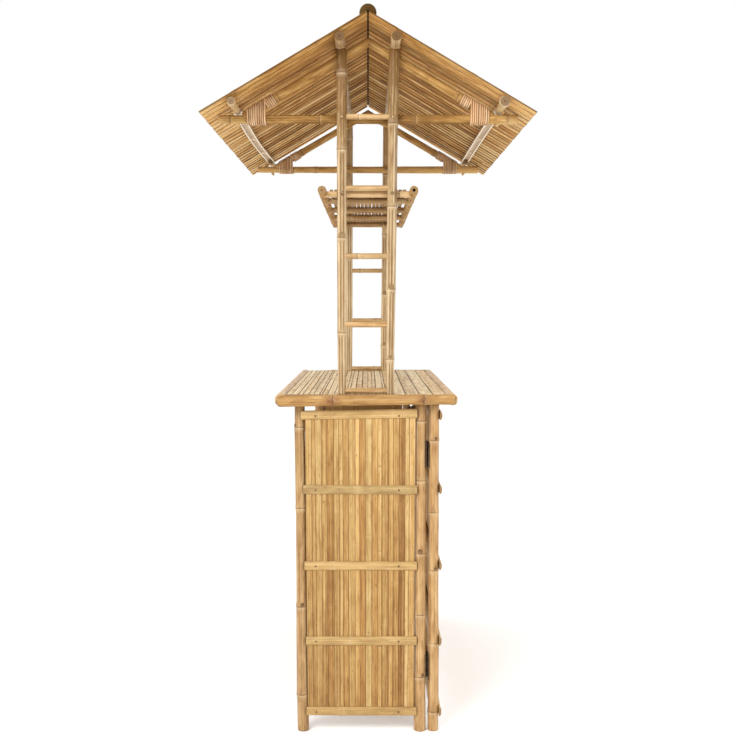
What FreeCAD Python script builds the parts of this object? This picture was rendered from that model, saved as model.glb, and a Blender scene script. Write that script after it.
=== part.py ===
import FreeCAD, Part

import math
import os
import re

import Sketcher

# Bamboo tiki bar hut: a counter top that carries two ladders, a hanging rack and a slatted gable roof,
# standing on a three-panel folding screen. Millimetres, +Z up. The origin is on the floor under the
# middle of the roof. X runs along the bar, the customers stand on the -Y side.

SIZES = {
    # Counter top
    "counter_length": 1300,
    "counter_depth": 554,
    "counter_shift_back": 5.5,
    "counter_height": 1050,
    "trim_diameter": 34.5,
    "trim_corner_radius": 16.5,
    "counter_slat_thickness": 6,
    "counter_slat_drop": 2.5,
    "counter_slat_gap": 1,
    "counter_end_gap": 1,
    "wide_slat_width": 39,
    "wide_slat_count": 4,
    "narrow_slat_count": 20,
    "bearer_width": 36,
    "bearer_count": 5,
    # Folding screen: posts of the front panel and of the two wings
    "screen_inset": 58,
    "lift_gap": 0.3,
    "front_panel_y": -202,
    "front_post_foot_diameter": 34,
    "front_post_head_diameter": 31,
    "wing_front_y": -161,
    "wing_front_foot_diameter": 39,
    "wing_front_head_diameter": 30,
    "wing_back_y": 205,
    "wing_back_foot_diameter": 37,
    "wing_back_head_diameter": 32,
    # Folding screen: rails, slats and the half-round battens over them
    "rail_diameter": 24,
    "rail_tenon_diameter": 12,
    "rail_height_floor": 65,
    "rail_height_low": 286,
    "rail_height_middle": 520,
    "rail_height_high": 755,
    "rail_height_top": 982,
    "screen_slat_thickness": 5,
    "screen_slat_gap": 0.8,
    "screen_slat_foot": 56,
    "screen_slat_head": 988,
    "screen_slat_margin": 0.5,
    "wing_slat_count": 20,
    "bay_slat_count": 34,
    "batten_width": 28,
    "batten_thickness": 7.5,
    "wing_batten_front_overlap": 11,
    "wing_batten_back_overlap": 5,
    "front_batten_overlap": 25,
    "wing_nail_front_inset": 67,
    "wing_nail_back_inset": 45,
    "nail_diameter": 2.2,
    "nail_length": 17.5,
    "nail_head_diameter": 5,
    "nail_head_thickness": 1,
    # Hinges between the front panel and the wings
    "hinge_inset": 22,
    "hinge_height_low": 200,
    "hinge_height_high": 860,
    "hinge_length": 78,
    "hinge_leaf_width": 34,
    "hinge_leaf_thickness": 1.8,
    "knuckle_diameter": 10.6,
    "knuckle_count": 5,
    "knuckle_gap": 0.4,
    "pin_diameter": 4,
    "pin_play": 0.1,
    "pin_head_diameter": 7,
    "pin_head_thickness": 1.5,
    "screw_diameter": 3.4,
    "screw_head_diameter": 6.6,
    "screw_length": 12,
    "screw_spacing": 28,
    # Dowels that locate the counter on the front panel, and that hold the ladder feet
    "locating_dowel_diameter": 16,
    "locating_dowel_height": 20,
    "locating_dowel_depth": 26,
    "dowel_play": 0.4,
    "foot_dowel_diameter": 6,
    "foot_dowel_length": 60,
    "foot_dowel_floor": 3,
    # Ladders that stand on the counter
    "ladder_foot_diameter": 25.5,
    "ladder_head_diameter": 32,
    "ladder_front_foot_y": -64,
    "ladder_back_foot_y": 79,
    "ladder_head_half_width": 79,
    "purlin_seat": 4,
    "rung_diameter": 18,
    "rung_tenon_diameter": 9,
    "rung_tenon_stop": 4,
    "rung_rise_floor": 9.5,
    "rung_shift_low": -4.5,
    "rung_shift_middle": -4,
    "rung_shift_high": -6.5,
    "rung_over_tie_beam": 3,
    # Hanging rack between the ladders
    "rack_rail_diameter": 26,
    "rack_rail_y": 137,
    "rack_drop": 11.5,
    "rack_left_end": -645,
    "rack_right_end": 635,
    "rack_bore_diameter": 9,
    "rack_bore_depth": 45,
    "crossbar_diameter": 20,
    "crossbar_tenon_diameter": 8,
    "crossbar_drop": 4.5,
    "crossbar_next_x": -378,
    "crossbar_left_x": -70,
    "crossbar_right_x": 215,
    "rack_slat_width": 11.2,
    "rack_slat_thickness": 5,
    "rack_slat_gap": 1.9,
    "rack_slat_count": 18,
    # Roof trusses
    "roof_length": 1410,
    "roof_half_width": 493.3,
    "roof_top_height": 2170,
    "roof_pitch": 30.5,
    "roof_slat_thickness": 8,
    "roof_slat_gap": 2.5,
    "roof_slat_count": 30,
    "ridge_gap": 7,
    "purlin_diameter": 30,
    "upper_purlin_y": 82.6,
    "eave_purlin_y": 398.5,
    "purlin_inset": 4,
    "purlin_wall": 4.5,
    "purlin_node_length": 26,
    "rafter_diameter": 28,
    "rafter_foot_y": 377,
    "tie_beam_diameter": 27,
    "tie_beam_half_length": 453,
    "tie_beam_notch": 1.5,
    "ridge_pole_diameter": 51,
    "ridge_pole_inset": 7,
    "ridge_pole_drop": 2.5,
    "peg_diameter": 9,
    "peg_length": 54,
    "peg_tilt": 36,
    "peg_clearance": 2.2,
    "bolt_diameter": 6,
    "bolt_head_diameter": 11,
    "bolt_head_thickness": 3,
    "nut_diameter": 11,
    "nut_thickness": 5,
    # Rattan lashings of rafter to tie beam
    "strand_diameter": 5.6,
    "strand_pitch": 6.5,
    "lashing_turns": 9,
    "lashing_start_y": 309,
    "collar_turns": 4,
    "collar_start": 0.8,
    "strand_clearance": 0.2,
}
RAIL_LEVELS = ("floor", "low", "middle", "high", "top")

doc = FreeCAD.newDocument("TikiBarHut")
sheet = doc.addObject("Spreadsheet::Sheet", "Sizes")
for row_number, (alias, value) in enumerate(SIZES.items(), start=1):
    sheet.set(f"A{row_number}", alias.replace("_", " "))
    sheet.set(f"B{row_number}", str(value))
    sheet.setAlias(f"B{row_number}", alias)
doc.recompute()

V = FreeCAD.Vector
X_AXIS = (1, 0, 0)
Y_AXIS = (0, 1, 0)
Z_AXIS = (0, 0, 1)

# Places that several pieces share, as expressions of the sheet's sizes
SCREEN_X = "(counter_length / 2 - screen_inset)"
DECK_Z = "(counter_height - counter_slat_drop)"
SLAT_FLOOR_Z = f"({DECK_Z} - counter_slat_thickness)"
BEARER_Z = "(counter_height - trim_diameter)"
POST_HEAD_Z = f"({BEARER_Z} - lift_gap)"
INNER_DEPTH = "(counter_depth - 2 * trim_diameter)"
COUNTER_FRONT_Y = "(counter_shift_back - counter_depth / 2)"
COUNTER_BACK_Y = "(counter_shift_back + counter_depth / 2)"
ROOF_UNDERSIDE_Z = "(roof_top_height - roof_slat_thickness / cos(roof_pitch))"
PURLIN_DROP = "(purlin_diameter / 2 / cos(roof_pitch))"
UPPER_PURLIN_Z = f"({ROOF_UNDERSIDE_Z} - upper_purlin_y * tan(roof_pitch) - {PURLIN_DROP})"
EAVE_PURLIN_Z = f"({ROOF_UNDERSIDE_Z} - eave_purlin_y * tan(roof_pitch) - {PURLIN_DROP})"
RAFTER_APEX_Z = f"({ROOF_UNDERSIDE_Z} - (purlin_diameter + rafter_diameter / 2) / cos(roof_pitch))"
TIE_BEAM_Z = f"({EAVE_PURLIN_Z} - purlin_diameter / 2 - tie_beam_diameter / 2)"
TRUSS_X = f"({SCREEN_X} - ladder_head_diameter / 2 - tie_beam_diameter / 2 + tie_beam_notch)"
LADDER_TOP_Z = f"({UPPER_PURLIN_Z} - purlin_diameter / 2 + purlin_seat)"
CROSSBAR_X = f"({SCREEN_X} - (ladder_foot_diameter + ladder_head_diameter) / 4 - crossbar_diameter / 2)"
# The rungs between the lowest and the highest are evenly spaced, each a little shifted
RUNG_FLOOR_Z = f"({DECK_Z} + rung_rise_floor)"
RUNG_TOP_Z = f"({TIE_BEAM_Z} + rung_over_tie_beam)"
RUNG_Z = {
    "floor": RUNG_FLOOR_Z,
    "low": f"({RUNG_FLOOR_Z} + ({RUNG_TOP_Z} - {RUNG_FLOOR_Z}) / 4 + rung_shift_low)",
    "middle": f"(({RUNG_FLOOR_Z} + {RUNG_TOP_Z}) / 2 + rung_shift_middle)",
    "high": f"({RUNG_TOP_Z} - ({RUNG_TOP_Z} - {RUNG_FLOOR_Z}) / 4 + rung_shift_high)",
    "top": RUNG_TOP_Z,
}
RACK_Z = f"({RUNG_Z['high']} - rack_drop)"
CROSSBAR_Z = f"({RACK_Z} - crossbar_drop)"
RIDGE_POLE_LENGTH = "(roof_length - 2 * ridge_pole_inset)"
RIDGE_POLE_Z = "(roof_top_height - ridge_pole_drop)"
HINGE_X = f"({SCREEN_X} - hinge_inset)"
HINGE_Y = "((front_panel_y + wing_front_y) / 2)"


def expression(text):
    """Return the text with each size's name written as a reference to the sheet."""
    return re.sub(r"[a-z_]+", lambda word: f"Sizes.{word[0]}" if word[0] in SIZES else word[0], text)


def bind(item, name, text):
    """Tie a property of a document object to an expression of the sizes."""
    item.setExpression(name, expression(str(text)))


def place(item, x=0, y=0, z=0, axis=None, angle=0):
    """Tie an object's place, and its turn about an axis through its origin, to the sizes."""
    if axis:
        item.Placement = FreeCAD.Placement(V(), FreeCAD.Rotation(V(*axis), 90))
        bind(item, "Placement.Rotation.Angle", angle)
    bind(item, "Placement.Base.x", x)
    bind(item, "Placement.Base.y", y)
    bind(item, "Placement.Base.z", z)
    return item


def new(kind, name):
    """Add an object to the document under its own label."""
    item = doc.addObject(kind, name)
    item.Label = name
    return item


def pole(name, diameter, length, x=0, y=0, z=0, axis=None, angle=0):
    """Make a straight pole that runs up +Z from its place before it is turned."""
    item = new("Part::Cylinder", name)
    bind(item, "Radius", f"({diameter}) / 2")
    bind(item, "Height", length)
    return place(item, x, y, z, axis, angle)


def pole_along_x(name, diameter, start, end, y, z):
    """Make a pole parallel to X."""
    return pole(name, diameter, f"({end}) - ({start})", start, y, z, Y_AXIS, 90)


def pole_along_y(name, diameter, start, end, x, z):
    """Make a pole parallel to Y."""
    return pole(name, diameter, f"({end}) - ({start})", x, end, z, X_AXIS, 90)


def tapered_pole(name, foot_diameter, head_diameter, length, x, y, z, axis=None, angle=0):
    """Make a culm that is thicker at one end."""
    item = new("Part::Cone", name)
    bind(item, "Radius1", f"{foot_diameter} / 2")
    bind(item, "Radius2", f"{head_diameter} / 2")
    bind(item, "Height", length)
    return place(item, x, y, z, axis, angle)


def block(name, size_x, size_y, size_z, x, y, z):
    """Make a box from its size and its lowest corner."""
    item = new("Part::Box", name)
    bind(item, "Length", size_x)
    bind(item, "Width", size_y)
    bind(item, "Height", size_z)
    return place(item, x, y, z)


def group(name, pieces):
    """Keep separate pieces together under one name."""
    item = new("Part::Compound", name)
    item.Links = pieces
    return item


def fused(name, pieces):
    """Join pieces that make one body of material."""
    item = new("Part::MultiFuse", name)
    item.Shapes = pieces
    return item


def cut(name, base, tools):
    """Take the tools' material away from the base, one tool after another."""
    for tool in tools:
        item = new("Part::Cut", name)
        item.Base = base
        item.Tool = tool
        base = item
    return base


def common(name, base, tool):
    """Keep what two pieces have in common."""
    item = new("Part::Common", name)
    item.Base = base
    item.Tool = tool
    return item


def mirrored(name, source, normal=X_AXIS):
    """Make the mirror image of a piece on the other side of the middle plane."""
    item = new("Part::Mirroring", name)
    item.Source = source
    item.Normal = V(*normal)
    return item


def sketch_on(body, role):
    """Start a sketch on one of a body's own origin planes."""
    sketch = body.newObject("Sketcher::SketchObject", f"{body.Name}_sketch")
    plane = next(item for item in body.Origin.OriginFeatures if item.Role == role)
    sketch.AttachmentSupport = [(plane, "")]
    sketch.MapMode = "FlatFace"
    return sketch


def close_outline(sketch, points):
    """Draw a closed outline of straight lines through the points."""
    for index, point in enumerate(points):
        sketch.addGeometry(Part.LineSegment(point, points[(index + 1) % len(points)]), False)
    for index in range(len(points)):
        sketch.addConstraint(Sketcher.Constraint("Coincident", index, 2, (index + 1) % len(points), 1))


def dimension(sketch, name, kind, text, *where):
    """Add a named dimension that follows the sizes."""
    sketch.addConstraint(Sketcher.Constraint(kind, *where, 10.0))
    sketch.renameConstraint(sketch.ConstraintCount - 1, name)
    bind(sketch, f"Constraints.{name}", text)


def rectangle(body, role, across, up):
    """Sketch a rectangle with its lowest corner at the body's origin."""
    sketch = sketch_on(body, role)
    close_outline(sketch, [V(0, 0), V(10, 0), V(10, 10), V(0, 10)])
    sketch.addConstraint(Sketcher.Constraint("Coincident", 0, 1, -1, 1))
    for line, direction in enumerate(("Horizontal", "Vertical", "Horizontal", "Vertical")):
        sketch.addConstraint(Sketcher.Constraint(direction, line))
    dimension(sketch, "across", "DistanceX", across, 0, 1, 0, 2)
    dimension(sketch, "up", "DistanceY", up, 1, 1, 1, 2)
    return sketch


def half_round(body, role, width, thickness):
    """Sketch a split culm: a flat back on the vertical axis and a round face towards -x."""
    sketch = sketch_on(body, role)
    sketch.addGeometry(Part.LineSegment(V(0, -10), V(0, 10)), False)
    sketch.addGeometry(Part.ArcOfCircle(Part.Circle(V(3, 0), V(0, 0, 1), 10.44), 1.862, 4.421), False)
    sketch.addConstraint(Sketcher.Constraint("Coincident", 0, 2, 1, 1))
    sketch.addConstraint(Sketcher.Constraint("Coincident", 1, 2, 0, 1))
    sketch.addConstraint(Sketcher.Constraint("Vertical", 0))
    sketch.addConstraint(Sketcher.Constraint("Symmetric", 0, 1, 0, 2, -1, 1))
    dimension(sketch, "width", "DistanceY", width, 0, 1, 0, 2)
    radius = f"(({width}) ^ 2 / 4 + ({thickness}) ^ 2) / (2 * ({thickness}))"
    dimension(sketch, "curve", "Radius", radius, 1)
    return sketch


def pad(body, sketch, length):
    """Raise a body from its sketch."""
    feature = body.newObject("PartDesign::Pad", f"{body.Name}_pad")
    feature.Profile = sketch
    bind(feature, "Length", length)
    return feature


def repeat(body, feature, sketch, direction, count, pitch):
    """Repeat a feature in a straight row of separate copies."""
    doc.recompute()
    pattern = body.newObject("PartDesign::LinearPattern", f"{body.Name}_row")
    pattern.Originals = [feature]
    pattern.Direction = (sketch, [direction])
    bind(pattern, "Length", f"({count} - 1) * ({pitch})")
    bind(pattern, "Occurrences", count)
    body.Tip = pattern
    return pattern


def slat_row(name, role, across, up, length, direction, count, pitch, x, y, z):
    """Make a row of equal slats."""
    body = new("PartDesign::Body", name)
    sketch = rectangle(body, role, across, up)
    repeat(body, pad(body, sketch, length), sketch, direction, count, pitch)
    return place(body, x, y, z)


def batten(name, role, length, x, y, z):
    """Make one half-round batten with its flat back towards the screen."""
    body = new("PartDesign::Body", name)
    sketch = half_round(body, role, "batten_width", "batten_thickness")
    pad(body, sketch, length)
    return place(body, x, y, z)


def with_tenons(name, bars, posts, tenons):
    """Cope the bars against the posts and join each bar to its tenon; return them and the tenons."""
    coped = cut(f"{name}_coped", group(f"{name}_bars", bars), posts)
    tenon_group = group(f"{name}_tenons", tenons)
    return fused(name, [coped, tenon_group]), tenon_group


# Every finished piece, under the name of its node
nodes = {}


def finish(name, item):
    """Keep a piece as a node."""
    item.Label = name
    nodes[name] = item
    return item


# Folding screen: the left wing, whose mirror image is the right wing
def wing_posts():
    """Return the wing's two plain posts, front and back."""
    return [
        tapered_pole(
            f"wing_{side}_pole", f"wing_{side}_foot_diameter", f"wing_{side}_head_diameter",
            POST_HEAD_Z, f"-{SCREEN_X}", f"wing_{side}_y", 0,
        )
        for side in ("front", "back")
    ]


def wing_rails(posts):
    """Return the wing's five coped rails, and their tenons."""
    bars = []
    tenons = []
    for level in RAIL_LEVELS:
        run = ("wing_front_y", "wing_back_y", f"-{SCREEN_X}", f"rail_height_{level}")
        bars.append(pole_along_y(f"wing_rail_{level}", "rail_diameter", *run))
        tenons.append(pole_along_y(f"wing_tenon_{level}", "rail_tenon_diameter", *run))
    return with_tenons("wing_rails_whole", bars, posts, tenons)


def wing_battens():
    """Return the five battens across the wing's outer side."""
    start = "(wing_front_y + wing_batten_front_overlap)"
    end = "(wing_back_y - wing_batten_back_overlap)"
    x = f"-{SCREEN_X} - rail_diameter / 2 - screen_slat_thickness"
    return [
        batten(f"wing_batten_{level}", "XZ_Plane", f"{end} - {start}", x, end, f"rail_height_{level}")
        for level in RAIL_LEVELS
    ]


def nail(name, x, y, z, axis, angle):
    """Return a nail's shank and head; its head's underside is at the given place."""
    shank = pole(f"{name}_shank", "nail_diameter", "nail_length", x, y, z, axis, angle)
    head = pole(
        f"{name}_head", "nail_head_diameter", "nail_head_thickness", x, y, z, axis, f"{angle} - 180"
    )
    return shank, head


def wing_nails():
    """Return the wing's ten nails, which go through batten and slat into the rails, and their shanks."""
    x = f"-{SCREEN_X} - rail_diameter / 2 - screen_slat_thickness - batten_thickness"
    shanks = []
    heads = []
    for level in RAIL_LEVELS:
        for post, sign in (("front", "+"), ("back", "-")):
            y = f"wing_{post}_y {sign} wing_nail_{post}_inset"
            shank, head = nail(f"wing_nail_{post}_{level}", x, y, f"rail_height_{level}", Y_AXIS, 90)
            shanks.append(shank)
            heads.append(head)
    return fused("wing_left_nails", shanks + heads), group("wing_shanks", shanks)


def hinge_parts(level):
    """Return one hinge of the left wing: its leaves, their recesses, its pin and its screws."""
    x = f"-{HINGE_X}"
    foot = f"(hinge_height_{level} - hinge_length / 2)"
    step = "(hinge_length / knuckle_count)"
    leaves = {}
    recesses = {}
    screws = {}
    for part, side in (("fixed", -1), ("moving", 1)):
        inner = f"({HINGE_Y} + {side} * knuckle_diameter / 2)"
        plate_y = inner if side < 0 else f"({inner} - hinge_leaf_thickness)"
        plate = block(
            f"{part}_plate_{level}", "hinge_leaf_width", "hinge_leaf_thickness", "hinge_length",
            f"{x} - hinge_leaf_width", plate_y, foot,
        )
        recesses[part] = block(
            f"{part}_recess_{level}", "hinge_leaf_width", "knuckle_diameter / 2", "hinge_length",
            f"{x} - hinge_leaf_width", inner if side < 0 else HINGE_Y, foot,
        )
        own = []
        others = []
        for index in range(SIZES["knuckle_count"]):
            start = f"{foot} + {index} * {step}"
            is_own = (index % 2 == 0) == (part == "fixed")
            if is_own:
                gap_below = "0" if index == 0 else "knuckle_gap / 2"
                gap_above = "0" if index == SIZES["knuckle_count"] - 1 else "knuckle_gap / 2"
                own.append(pole(
                    f"{part}_knuckle_{level}_{index}", "knuckle_diameter",
                    f"{step} - {gap_below} - {gap_above}", x, HINGE_Y, f"{start} + {gap_below}",
                ))
            else:
                others.append(pole(
                    f"{part}_clearing_{level}_{index}", "knuckle_diameter + 3 * knuckle_gap",
                    f"{step} + knuckle_gap", x, HINGE_Y, f"{start} - knuckle_gap / 2",
                ))
        play = "0" if part == "fixed" else "2 * pin_play"
        bore = pole(
            f"{part}_bore_{level}", f"pin_diameter + {play}", "hinge_length + 2", x, HINGE_Y, f"{foot} - 1"
        )
        face = f"({plate_y} + hinge_leaf_thickness)" if side < 0 else plate_y
        screws[part] = []
        for place_index in (-1, 0, 1):
            height = f"hinge_height_{level} + {place_index} * screw_spacing"
            turn = 90 if side < 0 else -90
            name = f"{part}_screw_{level}_{place_index + 1}"
            shank = pole(
                f"{name}_shank", "screw_diameter", "screw_length", f"-{SCREEN_X}", face, height, X_AXIS, turn
            )
            head = tapered_pole(
                f"{name}_head", "screw_head_diameter", "screw_diameter", "hinge_leaf_thickness",
                f"-{SCREEN_X}", face, height, X_AXIS, turn,
            )
            screws[part].append(fused(name, [shank, head]))
        solid = fused(f"{part}_leaf_blank_{level}", [plate] + own)
        leaves[part] = cut(f"{part}_leaf_{level}", solid, others + [bore] + screws[part])
    shank = pole(f"pin_{level}", "pin_diameter", "hinge_length", x, HINGE_Y, foot)
    low_head = pole(
        f"pin_low_head_{level}", "pin_head_diameter", "pin_head_thickness", x, HINGE_Y,
        f"{foot} - pin_head_thickness",
    )
    high_head = pole(
        f"pin_high_head_{level}", "pin_head_diameter", "pin_head_thickness", x, HINGE_Y,
        f"{foot} + hinge_length",
    )
    pin = fused(f"hinge_pin_{level}", [shank, low_head, high_head])
    return leaves, recesses, pin, screws


def both_ends(name, left):
    """Return the group of the left end's pieces and their mirror images."""
    return group(name, [left, mirrored(f"{name}_right", left)])


def build_screen():
    """Build the front panel, the two wings and the hinges between them."""
    hinges = [hinge_parts(level) for level in ("low", "high")]
    fixed_leaves = group("fixed_leaves", [leaves["fixed"] for leaves, _, _, _ in hinges])
    moving_leaves = group("moving_leaves", [leaves["moving"] for leaves, _, _, _ in hinges])
    fixed_recesses = group("fixed_recesses", [recesses["fixed"] for _, recesses, _, _ in hinges])
    moving_recesses = group("moving_recesses", [recesses["moving"] for _, recesses, _, _ in hinges])
    pins = group("pins", [pin for _, _, pin, _ in hinges])
    fixed_screws = group("fixed_screws", [screw for _, _, _, screws in hinges for screw in screws["fixed"]])
    moving_screws = group("moving_screws", [screw for _, _, _, screws in hinges for screw in screws["moving"]])

    posts = wing_posts()
    whole_rails, tenons = wing_rails(posts)
    nails, shanks = wing_nails()
    front_post = cut("wing_left_front_post", posts[0], [tenons, moving_recesses, moving_screws])
    back_post = cut("wing_left_back_post", posts[1], [tenons])
    rails = cut("wing_left_rails", whole_rails, [shanks])
    battens = cut("wing_left_battens", group("wing_batten_blanks", wing_battens()), posts + [shanks])
    start = "(wing_front_y + wing_front_foot_diameter / 2 + screen_slat_margin)"
    field = f"(wing_back_y - wing_back_foot_diameter / 2 - screen_slat_margin - {start})"
    pitch = f"(({field} + screen_slat_gap) / wing_slat_count)"
    whole_slats = slat_row(
        "wing_slat_row", "XY_Plane", "screen_slat_thickness", f"{pitch} - screen_slat_gap",
        "screen_slat_head - screen_slat_foot", "V_Axis", "wing_slat_count", pitch,
        f"-{SCREEN_X} - rail_diameter / 2 - screen_slat_thickness", start, "screen_slat_foot",
    )
    slats = cut("wing_left_slats", whole_slats, [shanks])
    wing = {
        "front_post": front_post,
        "back_post": back_post,
        "rails": rails,
        "slats": slats,
        "battens": battens,
        "nails": nails,
        "hinge_leaves": moving_leaves,
        "hinge_screws": moving_screws,
    }
    for name, piece in wing.items():
        finish(f"wing_left_{name}", piece)
        finish(f"wing_right_{name}", mirrored(f"wing_right_{name}", piece))

    finish("front_hinge_leaves", both_ends("front_hinge_leaves", fixed_leaves))
    finish("front_hinge_screws", both_ends("front_hinge_screws", fixed_screws))
    finish("hinge_pins", both_ends("hinge_pins", pins))
    build_front_panel(fixed_recesses, fixed_screws)


def front_post_pole(name, x):
    """Return one plain post of the front panel."""
    return tapered_pole(
        name, "front_post_foot_diameter", "front_post_head_diameter", POST_HEAD_Z, x, "front_panel_y", 0
    )


def build_front_panel(fixed_recesses, fixed_screws):
    """Build the customer's side of the screen: three posts and two slatted bays."""
    end_pole = front_post_pole("front_end_pole", f"-{SCREEN_X}")
    centre_pole = front_post_pole("front_centre_pole", 0)
    bars = []
    tenons = []
    battens = []
    shanks = []
    heads = []
    flat_y = "(front_panel_y - rail_diameter / 2 - screen_slat_thickness)"
    for level in RAIL_LEVELS:
        run = (f"-{SCREEN_X}", 0, "front_panel_y", f"rail_height_{level}")
        bars.append(pole_along_x(f"front_rail_{level}", "rail_diameter", *run))
        tenons.append(pole_along_x(f"front_tenon_{level}", "rail_tenon_diameter", *run))
        battens.append(batten(
            f"front_batten_{level}", "YZ_Plane", f"2 * ({SCREEN_X} + front_batten_overlap)",
            f"-{SCREEN_X} - front_batten_overlap", flat_y, f"rail_height_{level}",
        ))
        for spot, x in (("end", f"-{SCREEN_X}"), ("centre", "0")):
            shank, head = nail(
                f"front_nail_{spot}_{level}", x, f"{flat_y} - batten_thickness", f"rail_height_{level}",
                X_AXIS, -90,
            )
            shanks.append(shank)
            heads.append(head)
    left_rails, left_tenons = with_tenons("front_left_rails", bars, [end_pole, centre_pole], tenons)
    finish("front_rails", both_ends("front_rails", left_rails))

    left_shanks = group("front_left_shanks", shanks)
    all_shanks = fused("front_shanks", [left_shanks, mirrored("front_right_shanks", left_shanks)])
    left_heads = group("front_left_heads", heads)
    all_heads = fused("front_heads", [left_heads, mirrored("front_right_heads", left_heads)])
    finish("front_batten_nails", fused("front_batten_nails", [all_shanks, all_heads]))

    all_poles = [end_pole, centre_pole, mirrored("front_far_pole", end_pole)]
    batten_blanks = group("front_batten_blanks", battens)
    finish("front_battens", cut("front_battens", batten_blanks, all_poles + [all_shanks]))

    dowels = [locating_dowel("end", f"-{SCREEN_X}"), locating_dowel("centre", "0")]
    dowels.append(mirrored("locating_dowel_far", dowels[0]))
    finish("locating_dowels", group("locating_dowels", dowels))

    left_post = cut(
        "front_post_left", end_pole, [left_tenons, left_shanks, fixed_recesses, fixed_screws, dowels[0]]
    )
    finish("front_post_left", left_post)
    finish("front_post_right", mirrored("front_post_right", left_post))
    right_tenons = mirrored("front_right_tenons", left_tenons)
    centre_cuts = [left_tenons, right_tenons, all_shanks, dowels[1]]
    finish("front_post_center", cut("front_post_center", centre_pole, centre_cuts))

    start = f"(-{SCREEN_X} + front_post_foot_diameter / 2 + screen_slat_margin)"
    field = f"(-front_post_foot_diameter / 2 - screen_slat_margin - {start})"
    pitch = f"(({field} + screen_slat_gap) / bay_slat_count)"
    left_slats = slat_row(
        "front_left_slats", "XY_Plane", f"{pitch} - screen_slat_gap", "screen_slat_thickness",
        "screen_slat_head - screen_slat_foot", "H_Axis", "bay_slat_count", pitch,
        start, flat_y, "screen_slat_foot",
    )
    finish("front_slats", both_ends("front_slats", left_slats))


def locating_dowel(name, x):
    """Return a dowel in the head of a front post, which the counter drops over."""
    return pole(
        f"locating_dowel_{name}", "locating_dowel_diameter", "locating_dowel_depth + locating_dowel_height",
        x, "front_panel_y", f"{POST_HEAD_Z} - locating_dowel_depth",
    )


# Counter top
def mitre_block(name, length):
    """Return the mitred blank that one trim pole is cut from, outer edge on the X axis."""
    body = new("PartDesign::Body", name)
    sketch = sketch_on(body, "XY_Plane")
    close_outline(sketch, [V(-30, 0), V(30, 0), V(20, 10), V(-20, 10)])
    sketch.addConstraint(Sketcher.Constraint("Horizontal", 0))
    sketch.addConstraint(Sketcher.Constraint("Symmetric", 0, 1, 0, 2, -1, 1))
    sketch.addConstraint(Sketcher.Constraint("Symmetric", 2, 2, 2, 1, -2))
    dimension(sketch, "outer_length", "DistanceX", length, 0, 1, 0, 2)
    dimension(sketch, "depth", "DistanceY", "trim_diameter", 1, 1, 1, 2)
    dimension(sketch, "mitre", "DistanceX", "trim_diameter", 1, 2, 1, 1)
    pad(body, sketch, "trim_diameter")
    return body


def counter_outline():
    """Return the counter's rounded outline, as thick as its trim poles."""
    body = new("PartDesign::Body", "counter_outline")
    sketch = rectangle(body, "XY_Plane", "counter_length", "counter_depth")
    raised = pad(body, sketch, "trim_diameter")
    doc.recompute()
    corners = [
        f"Edge{index}"
        for index, edge in enumerate(raised.Shape.Edges, start=1)
        if abs(edge.Vertexes[0].Z - edge.Vertexes[-1].Z) > 1
    ]
    rounding = body.newObject("PartDesign::Fillet", "corner_rounding")
    rounding.Base = (raised, corners)
    bind(rounding, "Radius", "trim_corner_radius")
    return place(body, "-counter_length / 2", COUNTER_FRONT_Y, BEARER_Z)


def trim(name, outline, length, x, y, turn):
    """Make one mitred trim pole with its outer edge on a side of the counter."""
    blank = mitre_block(f"{name}_blank", length)
    culm = pole_along_x(
        f"{name}_culm", "trim_diameter", f"-{length} / 2", f"{length} / 2", "trim_diameter / 2", "trim_diameter / 2"
    )
    mitred = place(common(f"{name}_mitred", blank, culm), x, y, BEARER_Z, Z_AXIS, turn)
    return finish(name, common(name, mitred, outline))


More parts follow.
